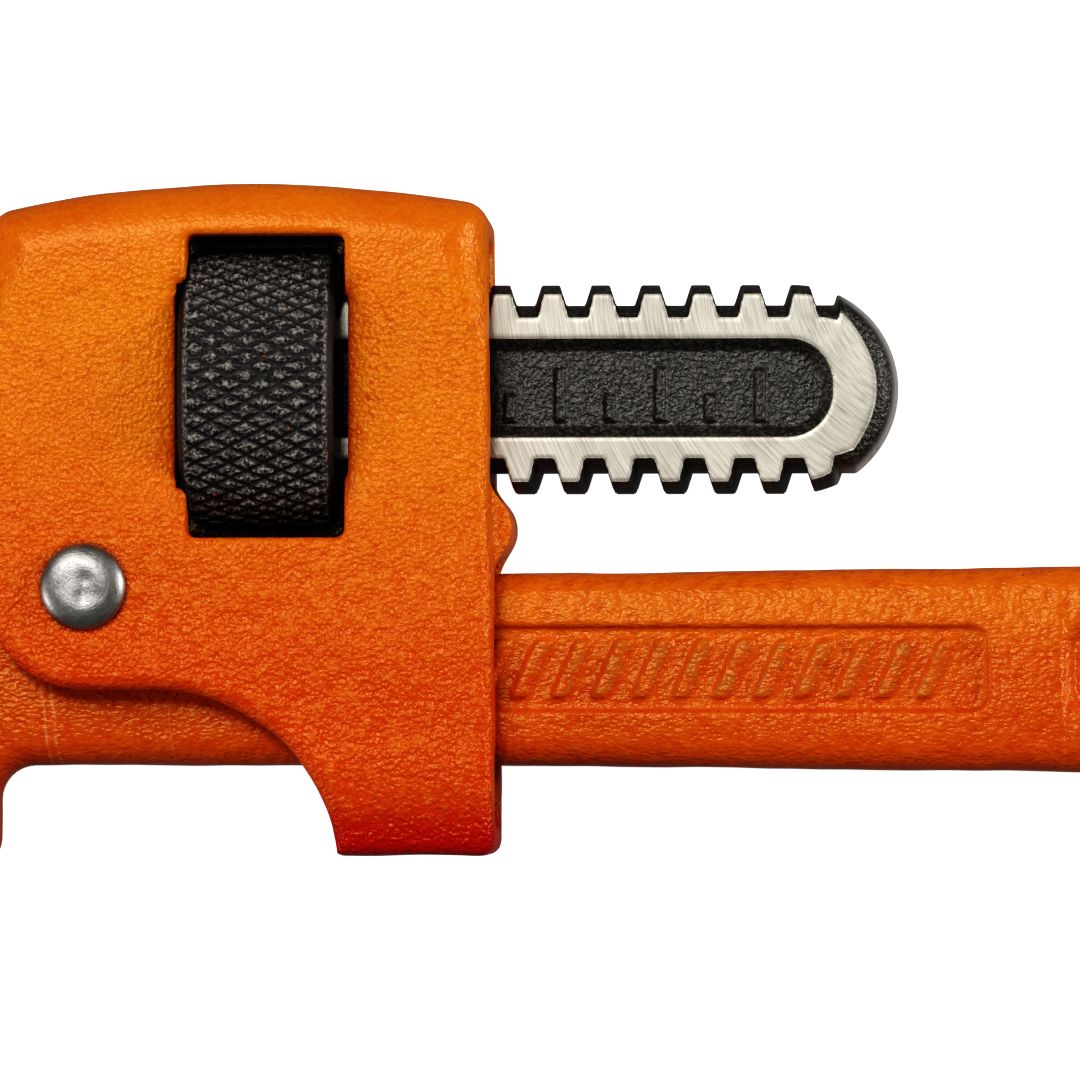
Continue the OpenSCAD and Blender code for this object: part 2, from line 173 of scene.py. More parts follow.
@dataclass(frozen=True)
class Outline:
    """A closed plan given by its corner points."""

    points: Points

    def distance(self, x: Array, y: Array) -> Array:
        """Measures how far points are from the plan's edge.

        Args:
            x: X of the points.
            y: Y of the points, in a shape that goes with x.

        Returns:
            Signed distances, negative inside the plan.
        """
        x, y = np.broadcast_arrays(x, y)
        nearest = np.full(x.shape, np.inf)
        inside = np.zeros(x.shape, bool)
        for (ax, ay), (bx, by) in zip(self.points, self.points[1:] + self.points[:1]):
            ex, ey, wx, wy = bx - ax, by - ay, x - ax, y - ay
            t = np.clip((wx * ex + wy * ey) / (ex * ex + ey * ey), 0, 1)
            nearest = np.minimum(nearest, (wx - ex * t) ** 2 + (wy - ey * t) ** 2)
            left = ex * wy > ey * wx
            inside ^= ((y >= ay) & (y < by) & left) | ((y < ay) & (y >= by) & ~left)
        return np.where(inside, -1, 1) * np.sqrt(nearest)


@dataclass(frozen=True)
class Solid:
    """A shape given by its signed distance at any point, negative inside."""

    distance: Distance

    def common(self, other: "Solid", r: float = 0) -> "Solid":
        """Returns what both solids share, with the edge rounded by r."""
        return Solid(lambda x, y, z: rounded_max(self.distance(x, y, z), other.distance(x, y, z), r))

    def cut(self, other: "Solid", r: float = 0) -> "Solid":
        """Returns this solid with another taken out and the edge rounded by r."""
        return Solid(lambda x, y, z: rounded_max(self.distance(x, y, z), -other.distance(x, y, z), r))

    def join(self, other: "Solid", r: float = 0) -> "Solid":
        """Returns both solids together with a fillet of radius r between them."""
        return Solid(lambda x, y, z: -rounded_max(-self.distance(x, y, z), -other.distance(x, y, z), r))

    def swell(self, height: Distance) -> "Solid":
        """Returns this solid with its skin raised by a height that varies from place to place."""
        return Solid(lambda x, y, z: self.distance(x, y, z) - height(x, y, z))


def slab(plan: Outline, half: Callable[[Array, Array], Array], edge: float, draft: float) -> Solid:
    """Makes a plate about the middle plane.

    Args:
        plan: The plate's plan.
        half: Half the thickness as a function of x and y.
        edge: Rounding of the plate's edges.
        draft: How much the plate narrows for each unit away from the middle plane.

    Returns:
        The plate.
    """

    def distance(x: Array, y: Array, z: Array) -> Array:
        """Signed distance to the plate."""
        return rounded_max(plan.distance(x, y) + draft * np.abs(z), np.abs(z) - half(x, y), edge)

    return Solid(distance)


def sunk(plan: Outline, floor: float, draft: float) -> Solid:
    """Makes a cutter for equal panels in both faces.

    Args:
        plan: Plan of the panel at its floor.
        floor: Height of the panel's floor above the middle plane.
        draft: How much the panel widens for each unit above its floor.

    Returns:
        The cutter.
    """

    def distance(x: Array, y: Array, z: Array) -> Array:
        """Signed distance to the cutter."""
        above = np.abs(z) - floor
        return np.maximum(plan.distance(x, y) - draft * np.maximum(above, 0), -above)

    return Solid(distance)


def rod(r: float, x0: float = -1e3, x1: float = 1e3) -> Solid:
    """Makes a round bar around the shank's axis."""
    return Solid(lambda x, y, z: np.maximum(np.hypot(y, z) - r, np.maximum(x0 - x, x - x1)))


def pin(at_x: float, at_y: float, r: float) -> Solid:
    """Makes a round bar along Z."""
    return Solid(lambda x, y, z: np.hypot(x - at_x, y - at_y) - r + 0 * z)


def repeat(value: Array, gap: float) -> Array:
    """Returns how far a value is from the nearest multiple of gap."""
    return np.abs(value - gap * np.round(value / gap))


@dataclass(frozen=True)
class Ripple:
    """Soft unevenness that a forging keeps from its die, as a sum of waves."""

    height: float
    length: float
    waves: int = 7
    seed: int = 3

    def __call__(self, x: Array, y: Array, z: Array) -> Array:
        """Returns the skin's height at each point."""
        rng = np.random.default_rng(self.seed)
        total: Array | float = 0.0
        for _ in range(self.waves):
            k = rng.normal(size=3)
            k *= 2 * math.pi / (self.length * rng.uniform(0.7, 1.5) * np.linalg.norm(k))
            total = total + np.sin(k[0] * x + k[1] * y + k[2] * z + rng.uniform(0, 6.28))
        return total * self.height / math.sqrt(self.waves)


# ---------------------------------------------------------------- meshing


def stretches(*parts: tuple[float, float, float]) -> Array:
    """Lists grid places in stretches, each with its start, its end and its step."""
    return np.concatenate([np.arange(*part) for part in parts])


@dataclass(frozen=True)
class Mesher:
    """Turns a distance field into a mesh of quads by surface nets on a grid of box cells.

    A point is pulled onto the true surface by at most reach times the smallest cell at each step.
    """

    x: Array
    y: Array
    z: Array
    chunk: int = 48
    reach: float = 0.6

    @classmethod
    def around(cls, low: Sequence[float], high: Sequence[float], cell: float) -> "Mesher":
        """Makes an even grid a little larger than a box.

        Args:
            low: The box's lowest corner.
            high: The box's highest corner.
            cell: Size of a cell.

        Returns:
            The mesher.
        """
        return cls(*(np.arange(a - 2.3 * cell, b + 3 * cell, cell) for a, b in zip(low, high)))

    def sample(self, solid: Solid) -> Array:
        """Returns the field at the grid's points, worked out in slices along X."""
        y, z = self.y[None, :, None], self.z[None, None, :]
        out = np.empty((len(self.x), len(self.y), len(self.z)), np.float32)
        for i in range(0, len(self.x), self.chunk):
            out[i:i + self.chunk] = solid.distance(self.x[i:i + self.chunk, None, None], y, z)
        return out

    def mesh(self, solid: Solid, steps: int = 2) -> tuple[Array, list[list[int]]]:
        """Meshes a solid.

        Args:
            solid: What to mesh.
            steps: How many times the points are pulled onto the true surface.

        Returns:
            The points and the quads.
        """
        values = self.sample(solid)
        inside = values < 0
        axes = (self.x, self.y, self.z)
        shape = np.array(values.shape)
        cells, places, quads = [], [], []
        for a in range(3):
            b, c = (a + 1) % 3, (a + 2) % 3
            first = np.moveaxis(inside, a, 0)[:-1]
            second = np.moveaxis(inside, a, 0)[1:]
            found = np.stack(np.nonzero(np.moveaxis(first != second, 0, a)), 1)
            ahead = found.copy()
            ahead[:, a] += 1
            v0, v1 = values[tuple(found.T)].astype(float), values[tuple(ahead.T)].astype(float)
            spot = np.stack([axes[k][found[:, k]] for k in range(3)], 1)
            spot[:, a] += (axes[a][ahead[:, a]] - spot[:, a]) * v0 / (v0 - v1)
            ring = []
            for db, dc in ((0, 0), (-1, 0), (-1, -1), (0, -1)):
                cell = found.copy()
                cell[:, b] += db
                cell[:, c] += dc
                ring.append(np.ravel_multi_index(cell.T, shape))
                cells.append(ring[-1])
                places.append(spot)
            ring = np.stack(ring, 1)
            quads.append(np.where((v0 < 0)[:, None], ring, ring[:, ::-1]))
        used, index = np.unique(np.concatenate(cells), return_inverse=True)
        places = np.concatenate(places)
        count = np.bincount(index)
        points = np.stack([np.bincount(index, places[:, k]) / count for k in range(3)], 1)
        faces = np.searchsorted(used, np.concatenate(quads)).tolist()
        reach = self.reach * min(np.diff(self.y).min(), np.diff(self.z).min())
        for _ in range(steps):
            points = self.pull(solid, points, reach)
        return points, faces

    @staticmethod
    def pull(solid: Solid, points: Array, reach: float, h: float = 0.04) -> Array:
        """Moves points onto a solid's surface, along the field's slope.

        Args:
            solid: The solid.
            points: Points close to its surface.
            reach: The furthest that a point may move.
            h: Step for the slope.

        Returns:
            The moved points.
        """
        x, y, z = points.T
        here = solid.distance(x, y, z)
        slope = np.stack([
            solid.distance(x + h, y, z) - solid.distance(x - h, y, z),
            solid.distance(x, y + h, z) - solid.distance(x, y - h, z),
            solid.distance(x, y, z + h) - solid.distance(x, y, z - h)], 1) / (2 * h)
        steep = np.maximum((slope ** 2).sum(1), 0.3)
        move = slope * (-here / steep)[:, None]
        far = np.linalg.norm(move, axis=1)
        return points + move * np.minimum(1, reach / np.maximum(far, 1e-9))[:, None]


def make_object(name: str, points: Array, faces: list[list[int]], layout: Layout,
                smooth: bool = True) -> bpy.types.Object:
    """Makes an object from points in the wrench's own millimetres.

    Args:
        name: The object's name.
        points: Its points.
        faces: Its faces, as rows of point numbers.
        layout: Where the wrench lies.
        smooth: Whether it is shaded smooth.

    Returns:
        The object, linked to the scene.
    """
    mesh = bpy.data.meshes.new(name)
    mesh.from_pydata(layout.to_frame(points).tolist(), [], faces)
    mesh.polygons.foreach_set("use_smooth", [smooth] * len(mesh.polygons))
    mesh.update()
    obj = bpy.data.objects.new(name, mesh)
    bpy.context.collection.objects.link(obj)
    return obj


def ring_faces(rows: int, around: int, closed: bool, inward: bool = False) -> list[list[int]]:
    """Lists the quads of a tube made of rows of points.

    Args:
        rows: Number of rows.
        around: Points in a row.
        closed: Whether the last row joins the first one.
        inward: Whether each quad's points run the other way round.

    Returns:
        The quads.
    """
    i, j = np.meshgrid(np.arange(rows if closed else rows - 1), np.arange(around), indexing="ij")
    k, n = (i + 1) % rows, (j + 1) % around
    quads = np.stack([i * around + j, k * around + j, k * around + n, i * around + n], -1).reshape(-1, 4)
    return (quads[:, ::-1] if inward else quads).tolist()


# ---------------------------------------------------------------- shader tools


class Wire:
    """The output of a shader node, with arithmetic that adds Math nodes."""

    def __init__(self, tree: "Finish", socket: bpy.types.NodeSocket) -> None:
        """Wraps a socket of a finish's node tree."""
        self.tree = tree
        self.socket = socket

    def __add__(self, other: "Wire | float") -> "Wire":
        """Returns this plus other."""
        return self.tree.maths("ADD", self, other)

    def __radd__(self, other: float) -> "Wire":
        """Returns other plus this."""
        return self.tree.maths("ADD", other, self)

    def __sub__(self, other: "Wire | float") -> "Wire":
        """Returns this minus other."""
        return self.tree.maths("SUBTRACT", self, other)

    def __rsub__(self, other: float) -> "Wire":
        """Returns other minus this."""
        return self.tree.maths("SUBTRACT", other, self)

    def __mul__(self, other: "Wire | float") -> "Wire":
        """Returns this times other."""
        return self.tree.maths("MULTIPLY", self, other)

    def __rmul__(self, other: float) -> "Wire":
        """Returns other times this."""
        return self.tree.maths("MULTIPLY", other, self)

    def __abs__(self) -> "Wire":
        """Returns this without its sign."""
        return self.tree.maths("ABSOLUTE", self)


class Texture(Enum):
    """The grain that a surface can have."""

    NOISE = "ShaderNodeTexNoise"
    CELLS = "ShaderNodeTexVoronoi"


@dataclass(frozen=True)
class Finish:
    """A surface finish. A subclass lays its own pattern over the shared shader."""

    name: str
    layout: Layout

    @cached_property
    def plain(self) -> bpy.types.Material:
        """The finish's material, made once and without its pattern."""
        made = bpy.data.materials.new(self.name)
        made.use_nodes = True
        return made

    @property
    def tree(self) -> bpy.types.NodeTree:
        """The material's node tree."""
        return self.plain.node_tree

    @property
    def shader(self) -> bpy.types.Node:
        """The material's Principled shader."""
        return self.tree.nodes["Principled BSDF"]

    def material(self) -> bpy.types.Material:
        """Returns the finish's material with its pattern in place."""
        self.paint()
        return self.plain

    def paint(self) -> None:
        """Lays the finish's pattern."""
        raise NotImplementedError

    def node(self, kind: str, settings: dict[str, object], inputs: dict[str | int, object],
             output: str | int = 0) -> Wire:
        """Adds a shader node.

        Args:
            kind: The node's type.
            settings: Its properties, set first.
            inputs: Its sockets, each with a value or a wire.
            output: The socket to return.

        Returns:
            The chosen output.
        """
        made = self.tree.nodes.new(kind)
        for key, value in settings.items():
            setattr(made, key, value)
        for key, value in inputs.items():
            self.feed(made.inputs[key], value)
        return Wire(self, made.outputs[output])

    def feed(self, socket: bpy.types.NodeSocket, value: object) -> None:
        """Links a wire to a socket, or sets the socket's own value."""
        if isinstance(value, Wire):
            self.tree.links.new(value.socket, socket)
        elif isinstance(value, tuple) and socket.type == "RGBA":
            socket.default_value = (*value, 1.0)
        else:
            socket.default_value = value

    def maths(self, operation: str, *values: Wire | float) -> Wire:
        """Adds a Math node for an operation on values."""
        return self.node("ShaderNodeMath", {"operation": operation}, dict(enumerate(values)))

    def vector(self, operation: str, *values: Wire | Sequence[float],
               scale: float | None = None) -> Wire:
        """Adds a Vector Math node for an operation on vectors."""
        inputs: dict[str | int, object] = dict(enumerate(values))
        if scale is not None:
            inputs["Scale"] = scale
        return self.node("ShaderNodeVectorMath", {"operation": operation}, inputs)

    def place(self) -> Wire:
        """Returns the surface's place in the wrench's own millimetres."""
        spot = self.node("ShaderNodeTexCoord", {}, {}, "Object")
        spot = self.vector("SCALE", spot, scale=1 / MM)
        return self.vector("SUBTRACT", spot, tuple(self.layout.origin))

    def split(self, vector: Wire) -> tuple[Wire, Wire, Wire]:
        """Returns a vector's three parts."""
        first = self.node("ShaderNodeSeparateXYZ", {}, {0: vector})
        return first, *(Wire(self, first.socket.node.outputs[i]) for i in (1, 2))

    def combine(self, x: Wire | float, y: Wire | float, z: Wire | float) -> Wire:
        """Returns a vector made of three parts."""
        return self.node("ShaderNodeCombineXYZ", {}, {0: x, 1: y, 2: z})

    def far(self, dx: Wire, dy: Wire) -> Wire:
        """Returns how far a place is from a centre, given its two offsets."""
        return self.maths("SQRT", dx * dx + dy * dy)

    def grain(self, place: Wire, size: float, detail: float = 2, roughness: float = 0.5,
              distortion: float = 0) -> Wire:
        """Returns noise whose features are about size millimetres across."""
        return self.node(Texture.NOISE.value, {}, {"Vector": place, "Scale": 1 / size, "Detail": detail,
                                                   "Roughness": roughness, "Distortion": distortion})

    def cells(self, place: Wire, size: float) -> Wire:
        """Returns the distance to the nearest of points about size millimetres apart."""
        return self.node(Texture.CELLS.value, {}, {"Vector": place, "Scale": 1 / size})

    def step(self, value: Wire, low: float, high: float) -> Wire:
        """Returns a smooth step that is 0 where value is low and 1 where it is high."""
        return self.node("ShaderNodeMapRange", {"interpolation_type": "SMOOTHSTEP"},
                         {0: value, 1: low, 2: high, 3: 0.0, 4: 1.0})

    def mix(self, factor: Wire, a: Wire | Colour, b: Wire | Colour) -> Wire:
        """Returns a colour between a and b."""
        return self.node("ShaderNodeMix", {"data_type": "RGBA"}, {0: factor, 6: a, 7: b}, 2)

    def lay(self, colour: Wire, roughness: Wire, height: Wire, metallic: Wire | float = 0.0,
            **sockets: float) -> None:
        """Connects the pattern to the shader.

        Args:
            colour: Base colour.
            roughness: Roughness.
            height: Height of the surface in millimetres.
            metallic: Metallic part.
            sockets: Other sockets of the shader that are the same all over, with spaces as underscores.
        """
        self.feed(self.shader.inputs["Base Color"], colour)
        self.feed(self.shader.inputs["Roughness"], roughness)
        self.feed(self.shader.inputs["Metallic"], metallic)
        bump = self.node("ShaderNodeBump", {}, {"Strength": 1.0, "Distance": MM, "Height": height})
        self.feed(self.shader.inputs["Normal"], bump)
        for key, value in sockets.items():
            self.feed(self.shader.inputs[key.replace("_", " ")], value)


@dataclass(frozen=True)
class Enamel(Finish):
    """Orange enamel over the coarse skin of a forging, with dust and grime in its hollows, and with
    painted shade and painted highlights in its colour.
    """

    base: Colour = (0.67, 0.158, 0.003)
    # deep is both the random darker tone and the painted shade in the grain's low spots and on the
    # roof's top
    deep: Colour = (0.52, 0.055, 0.001)
    # painted shade: low is the darker red laid towards the bottom, where less light falls
    low: Colour = (0.54, 0.048, 0.001)
    # painted shade: a deep red along the housing's bottom edge, where little light falls
    toe_shade: Colour = (0.37, 0.002, 0.001)
    sheen: Colour = (1.0, 0.70, 0.30)
    grime: Colour = (0.12, 0.045, 0.015)
    # painted shadow: near-black laid in the nut's pocket and on the window's inner ledge, where shadow
    # falls
    pocket_shadow: Colour = (0.008, 0.003, 0.002)
    # painted highlight: light orange laid on the grain's peaks
    painted_highlight: Colour = (0.84, 0.27, 0.04)
    low_shade_amount: float = 1.0
    low_shade_range: tuple[float, float] = (4.0, -34.0)
    low_shade_skew: float = 0.15
    toe_shade_amount: float = 1.0
    toe_shade_range: tuple[float, float] = (-40.0, -45.2)
    # strength of the painted shade in the grain's low spots and of the painted highlights on its peaks
    grain_light_and_shade: float = 1.0
    gloss: float = 0.28
    peel_size: float = 0.44
    peel: float = 0.24
    coarse_size: float = 1.25
    coarse: float = 0.18
    swell_size: float = 5.5
    swell: float = 0.12
    tone_size: float = 11.0
    stretch: float = 1.0
    roof_y: float = 9.0
    # painted shade: how much the roof's top is darkened against the lights' sheen
    roof_shade_amount: float = 0.22
    deeper_range: tuple[float, float] = (-6.0, -22.0)
    grime_size: float = 9.0
    grime_amount: float = 0.25
    speck_gap: float = 2.4

    def paint(self) -> None:
        """Lays orange peel, slow swells, a random darker tone and specks of dirt, with painted shade in
        the grain's low spots, towards the bottom and on the roof's top, and painted highlights on the
        grain's peaks.
        """
        place = self.place()
        x, y, z = self.split(place)
        rough = 1 - 0.6 * self.step(y, self.roof_y, self.roof_y + 6)
        peel = self.grain(self.combine(x * self.stretch, y, z), self.peel_size, 1, 0.5)
        coarse = self.grain(place, self.coarse_size, 1, 0.5)
        swell = self.grain(place, self.swell_size, 2, 0.5)
        # painted shade in the low spots of the coarse grain
        hollow_shade = self.step(coarse, 0.5, 0.3) * rough
        tone = self.step(self.grain(place, self.tone_size, 3, 0.6), 0.3, 0.72)
        # painted shade: the enamel turns to the low colour towards the bottom
        lower = self.low_shade_amount * self.step(y + self.low_shade_skew * (x - 30.0), *self.low_shade_range)
        # painted shade: deep red along the housing's bottom edge
        toe_shade = self.toe_shade_amount * self.step(y, *self.toe_shade_range)
        # painted shade: the enamel is darkened on the roof's top
        roof = self.roof_shade_amount * self.step(y, self.roof_y, self.roof_y + 6.5)
        deeper = self.step(y, *self.deeper_range)
        # painted shade in the low spots of the fine grain
        pit_shade = self.step(peel, 0.46, 0.32) * rough
        # painted highlights: light orange on the peaks of the fine and coarse grain
        painted_highlights = 0.3 * self.step(peel, 0.54, 0.70) + 0.25 * deeper * self.step(coarse, 0.54, 0.68)
        # darker mixes the random tone with the painted shade in the grain's low spots and on the roof's
        # top
        darker = 0.25 * tone + 0.3 * hollow_shade + 0.3 * self.grain_light_and_shade * pit_shade + roof
        colour = self.mix(darker, self.base, self.deep)
        colour = self.mix(lower, colour, self.low)
        colour = self.mix(self.grain_light_and_shade * rough * painted_highlights * (1 - 0.5 * lower), colour, self.painted_highlight)
        colour = self.mix(toe_shade, colour, self.toe_shade)
        patch = self.step(self.grain(place, self.grime_size, 4, 0.65), 0.6, 0.78)
        dirt = patch * self.step(coarse, 0.55, 0.4) * self.grime_amount
        specks = self.step(self.cells(place, self.speck_gap), 0.07, 0.045)
        specks = specks * self.step(self.grain(place, 5, 2), 0.56, 0.62)
        dirt = self.maths("MAXIMUM", dirt, specks * 0.9)
        colour = self.wear(x, y, z, self.mix(dirt, colour, self.grime))
        roughness = self.gloss + 0.12 * coarse + 0.25 * dirt
        skin = self.peel * peel + self.coarse * coarse * (0.75 + 0.6 * deeper)
        height = rough * skin + self.swell * swell
        self.lay(colour, roughness, height, Specular_IOR_Level=0.42, Specular_Tint=self.sheen)

    def wear(self, x: Wire, y: Wire, z: Wire, colour: Wire) -> Wire:
        """Lays the marks that belong to one piece.

        Args:
            x: Place along the wrench.
            y: Place across the wrench.
            z: Height above the middle plane.
            colour: The enamel's colour so far.

        Returns:
            The colour with the marks.
        """
        return colour

    def band(self, value: Wire, low: float, high: float, soft: float) -> Wire:
        """Returns 1 where value lies between low and high, with soft ends."""
        return self.step(value, low - soft, low) * self.step(value, high + soft, high)


@dataclass(frozen=True)
class HousingEnamel(Enamel):
    """The housing's enamel, with painted shadow in the nut's pocket and painted shade around the rivet
    and beside the nut.
    """

    # painted shade: dark red beside the nut and in a ring around the rivet's base
    crevice_shade: Colour = (0.22, 0.02, 0.001)
    window: tuple[float, float, float] = (19.0, 34.8, 15.0)
    rivet_r: float = 4.3
    inner_z: float = 7.9

    def wear(self, x: Wire, y: Wire, z: Wire, colour: Wire) -> Wire:
        """Lays the painted shadow in the pocket, and the painted shade beside the nut and in a ring
        around the rivet.
        """
        x0, x1, half_h = self.window
        # painted shade beside the nut and around the rivet's base
        beside = self.band(x, x0 - 0.6, x1 + 0.3, 1.5) * self.step(abs(y), 13.0, 9.0)
        far = self.far(x - self.layout.pivot_x, y - self.layout.pivot_y)
        ring = self.step(far, self.rivet_r + 0.55, self.rivet_r + 0.1)
        colour = self.mix(0.75 * self.maths("MAXIMUM", beside, ring), colour, self.crevice_shade)
        # painted shadow: the pocket and the window's inner ledge turn near-black
        inside = self.band(x, x0 - 1.2, x1 + 0.5, 0.2) * self.step(abs(y), half_h + 1.2, half_h + 0.4)
        return self.mix(inside * self.step(abs(z), self.inner_z, self.inner_z - 0.5), colour, self.pocket_shadow)


@dataclass(frozen=True)
class HandleEnamel(Enamel):
    """The handle's enamel: darker than the housing's as painted shade, with painted shade along its
    lower edge, rubbed brown on the ribs, and scratched by the housing's front.
    """

    # painted shade: the handle's colours are a darker copy of the housing's orange, for the lesser light
    # it gets
    base: Colour = (0.61, 0.116, 0.004)
    deep: Colour = (0.44, 0.04, 0.001)
    # painted shade: a darker band along the handle's lower edge
    low: Colour = (0.46, 0.02, 0.001)
    low_shade_amount: float = 0.42
    low_shade_range: tuple[float, float] = (-21.5, -28.5)
    low_shade_skew: float = 0.0
    toe_shade_amount: float = 0.0
    grain_light_and_shade: float = 0.25
    gloss: float = 0.25
    peel_size: float = 0.36
    peel: float = 0.16
    coarse: float = 0.12
    stretch: float = 0.6
    grime_amount: float = 0.5
    brown: Colour = (0.30, 0.105, 0.022)
    pale: Colour = (0.80, 0.34, 0.14)
    rubbed_x: tuple[float, float] = (60.0, 90.0)
    rubbed_half_h: float = 2.2
    rubbed_z: float = 4.3
    scratches: tuple[tuple[float, float, float], ...] = (
        (4.0, 0.15, 1.0), (4.9, 0.2, 1.0), (16.5, 0.12, 0.6))
    middle: float = -28.1

    def wear(self, x: Wire, y: Wire, z: Wire, colour: Wire) -> Wire:
        """Lays the rubbed ribs and a few pale scratches across the handle."""
        low, high = self.middle - self.rubbed_half_h, self.middle + self.rubbed_half_h
        rubbed = self.band(x, *self.rubbed_x, 12.0) * self.band(y, low, high, 1.2)
        rubbed = rubbed * self.step(self.grain(self.combine(x, y, z), 1.6, 3, 0.6), 0.36, 0.6)
        rubbed = rubbed * self.step(abs(z), self.rubbed_z, self.rubbed_z + 0.3)
        colour = self.mix(0.5 * rubbed, colour, self.brown)
        wander = 0.5 * self.grain(self.combine(x * 0.1, y, z), 3.0, 2)
        across = x + wander + 0.12 * (y - self.middle)
        scratch: Wire | float = 0.0
        for at, wide, strength in self.scratches:
            scratch = self.maths("MAXIMUM", scratch, self.band(across, at, at + wide, 0.12) * strength)
        broken = self.step(self.grain(self.combine(x, y * 0.5, z), 0.5, 2), 0.35, 0.55)
        return self.mix(0.28 * scratch * broken * self.step(y, -24.0, -30.0), colour, self.pale)


@dataclass(frozen=True)
class GroundSteel(Finish):
    """The hook jaw: black scale with ground side faces that keep the grinder's curved scratches, and a
    painted highlight on the tip's rim.
    """

    face_z: float = 4.7
    shank_x: float = -8.0
    arc_x: float = 95.8
    arc_y: float = 12.1
    bright: Colour = (0.54, 0.50, 0.42)
    dull: Colour = (0.22, 0.198, 0.155)
    # painted highlight: the light grey laid on the tip's rim, in place of a reflection
    wear_and_glint: Colour = (0.44, 0.425, 0.40)
    scale: Colour = (0.014, 0.012, 0.009)
    dust: Colour = (0.085, 0.075, 0.057)
    tip_x: float = 89.8

    def paint(self) -> None:
        """Lays scratches in arcs on the ground faces, and scale everywhere else."""
        place = self.place()
        x, y, z = self.split(place)
        edge = self.grain(place, 0.8, 3, 0.6)
        ground = self.step(abs(z), self.face_z - 0.09, self.face_z - 0.04) * self.step(edge, 0.2, 0.3)
        ground = ground * self.step(x, self.shank_x, self.shank_x + 2)
        dx, dy = x - self.arc_x, y - self.arc_y
        lines = self.combine(self.far(dx, dy), self.maths("ARCTAN2", dy, dx) * 0.9, z * 0.1)
        fine = self.grain(lines, 0.16, 3, 0.65)
        broad = self.grain(lines, 0.7, 3, 0.6)
        stain = self.step(self.grain(place, 7, 3, 0.6), 0.42, 0.75)
        steel = self.mix(self.step(fine, 0.62, 0.34) * 0.6 + 0.35 * stain, self.bright, self.dull)
        cast = self.grain(place, 0.42, 2, 0.5)
        black = self.mix(self.step(cast, 0.42, 0.75) * 0.7, self.scale, self.dust)
        # painted highlight: the tip's rim is lightened towards its end, in place of a reflection
        rim = self.step(x, self.tip_x - 7.0, self.tip_x - 4.0) * self.step(abs(z), 4.0, 1.8)
        black = self.mix(0.85 * rim * self.step(edge, 0.2, 0.42), black, self.wear_and_glint)
        colour = self.mix(ground, black, steel)
        rough_black = 0.28 + 0.2 * self.grain(place, 1.1, 2)
        rough_steel = 0.36 + 0.2 * broad
        roughness = rough_black * (1 - ground) + rough_steel * ground
        height = (1 - ground) * (1 - 0.8 * rim) * 0.24 * cast + ground * (0.016 * fine + 0.03 * broad)
        self.lay(colour, roughness, height, 0.6 * ground)


@dataclass(frozen=True)
class BlackOxide(Finish):
    """Black oxide on the turned and knurled nut, with overspray from the enamel."""

    base: Colour = (0.012, 0.011, 0.010)
    wear_and_glint: Colour = (0.34, 0.31, 0.27)
    overspray: Colour = (0.75, 0.12, 0.01)
    tops_r: float = 13.95
    speck_gap: float = 1.7

    def paint(self) -> None:
        """Lays a rough oxide skin, knurl tops rubbed light by wear and a few orange specks."""
        place = self.place()
        _, y, z = self.split(place)
        far = self.far(y, z)
        skin = self.grain(place, 0.35, 3, 0.65, 0.5)
        tops = self.step(far, self.tops_r - 0.12, self.tops_r + 0.2) * self.step(skin, 0.42, 0.68)
        colour = self.mix(tops * 0.8, self.base, self.wear_and_glint)
        specks = self.step(self.cells(place, self.speck_gap), 0.09, 0.05)
        specks = specks * self.step(self.grain(place, 3, 2), 0.55, 0.6)
        colour = self.mix(specks, colour, self.overspray)
        roughness = 0.34 + 0.25 * skin
        self.lay(colour, roughness, 0.16 * skin + 0.03 * self.grain(place, 1.2, 2), 0.3)


@dataclass(frozen=True)
class BareSteel(Finish):
    """Bare peened steel of the rivets."""

    light: Colour = (0.29, 0.28, 0.26)
    dark: Colour = (0.10, 0.096, 0.09)

    def paint(self) -> None:
        """Lays the rings of the peening tool, a few hammer marks and a tarnish that gathers in them."""
        place = self.place()
        x, y, _ = self.split(place)
        dx, dy = x - self.layout.pivot_x, y - self.layout.pivot_y
        around = self.combine(self.far(dx, dy), self.maths("ARCTAN2", dy, dx) * 0.5, 0.0)
        rings = self.grain(around, 0.2, 3, 0.6)
        marks = self.grain(place, 1.1, 3, 0.55, 0.3)
        fine = self.grain(place, 0.25, 3, 0.6)
        tarnish = self.step(self.grain(place, 2.2, 3, 0.6), 0.42, 0.7)
        colour = self.mix(0.45 * tarnish + 0.25 * self.step(rings, 0.55, 0.35), self.light, self.dark)
        self.lay(colour, 0.29 + 0.2 * fine, 0.035 * marks + 0.01 * fine + 0.022 * rings, 0.95)


@dataclass(frozen=True)
class SpringSteel(Finish):
    """Blued spring steel."""

    blue: Colour = (0.035, 0.038, 0.046)
    straw: Colour = (0.09, 0.075, 0.055)

    def paint(self) -> None:
        """Lays slow colour changes from tempering, and rolling marks along the leaf."""
        place = self.place()
        x, y, z = self.split(place)
        rolled = self.grain(self.combine(x * 0.15, y, z), 0.3, 3, 0.6)
        temper = self.step(self.grain(place, 6, 2), 0.4, 0.65)
        self.lay(self.mix(temper, self.blue, self.straw), 0.3 + 0.2 * rolled, 0.015 * rolled, 0.8)


@dataclass(frozen=True)
class PaleFloor(Finish):
    """Plain white studio floor that glows a little, so that its shadows stay soft."""

    white: Colour = (0.9, 0.9, 0.9)
    glow: float = 0.93

    def paint(self) -> None:
        """Sets a plain white with a little glow."""
        self.feed(self.shader.inputs["Base Color"], self.white)
        self.feed(self.shader.inputs["Roughness"], 0.9)
        self.feed(self.shader.inputs["Emission Color"], (1.0, 1.0, 1.0))
        self.feed(self.shader.inputs["Emission Strength"], self.glow)


# ---------------------------------------------------------------- sub-assemblies


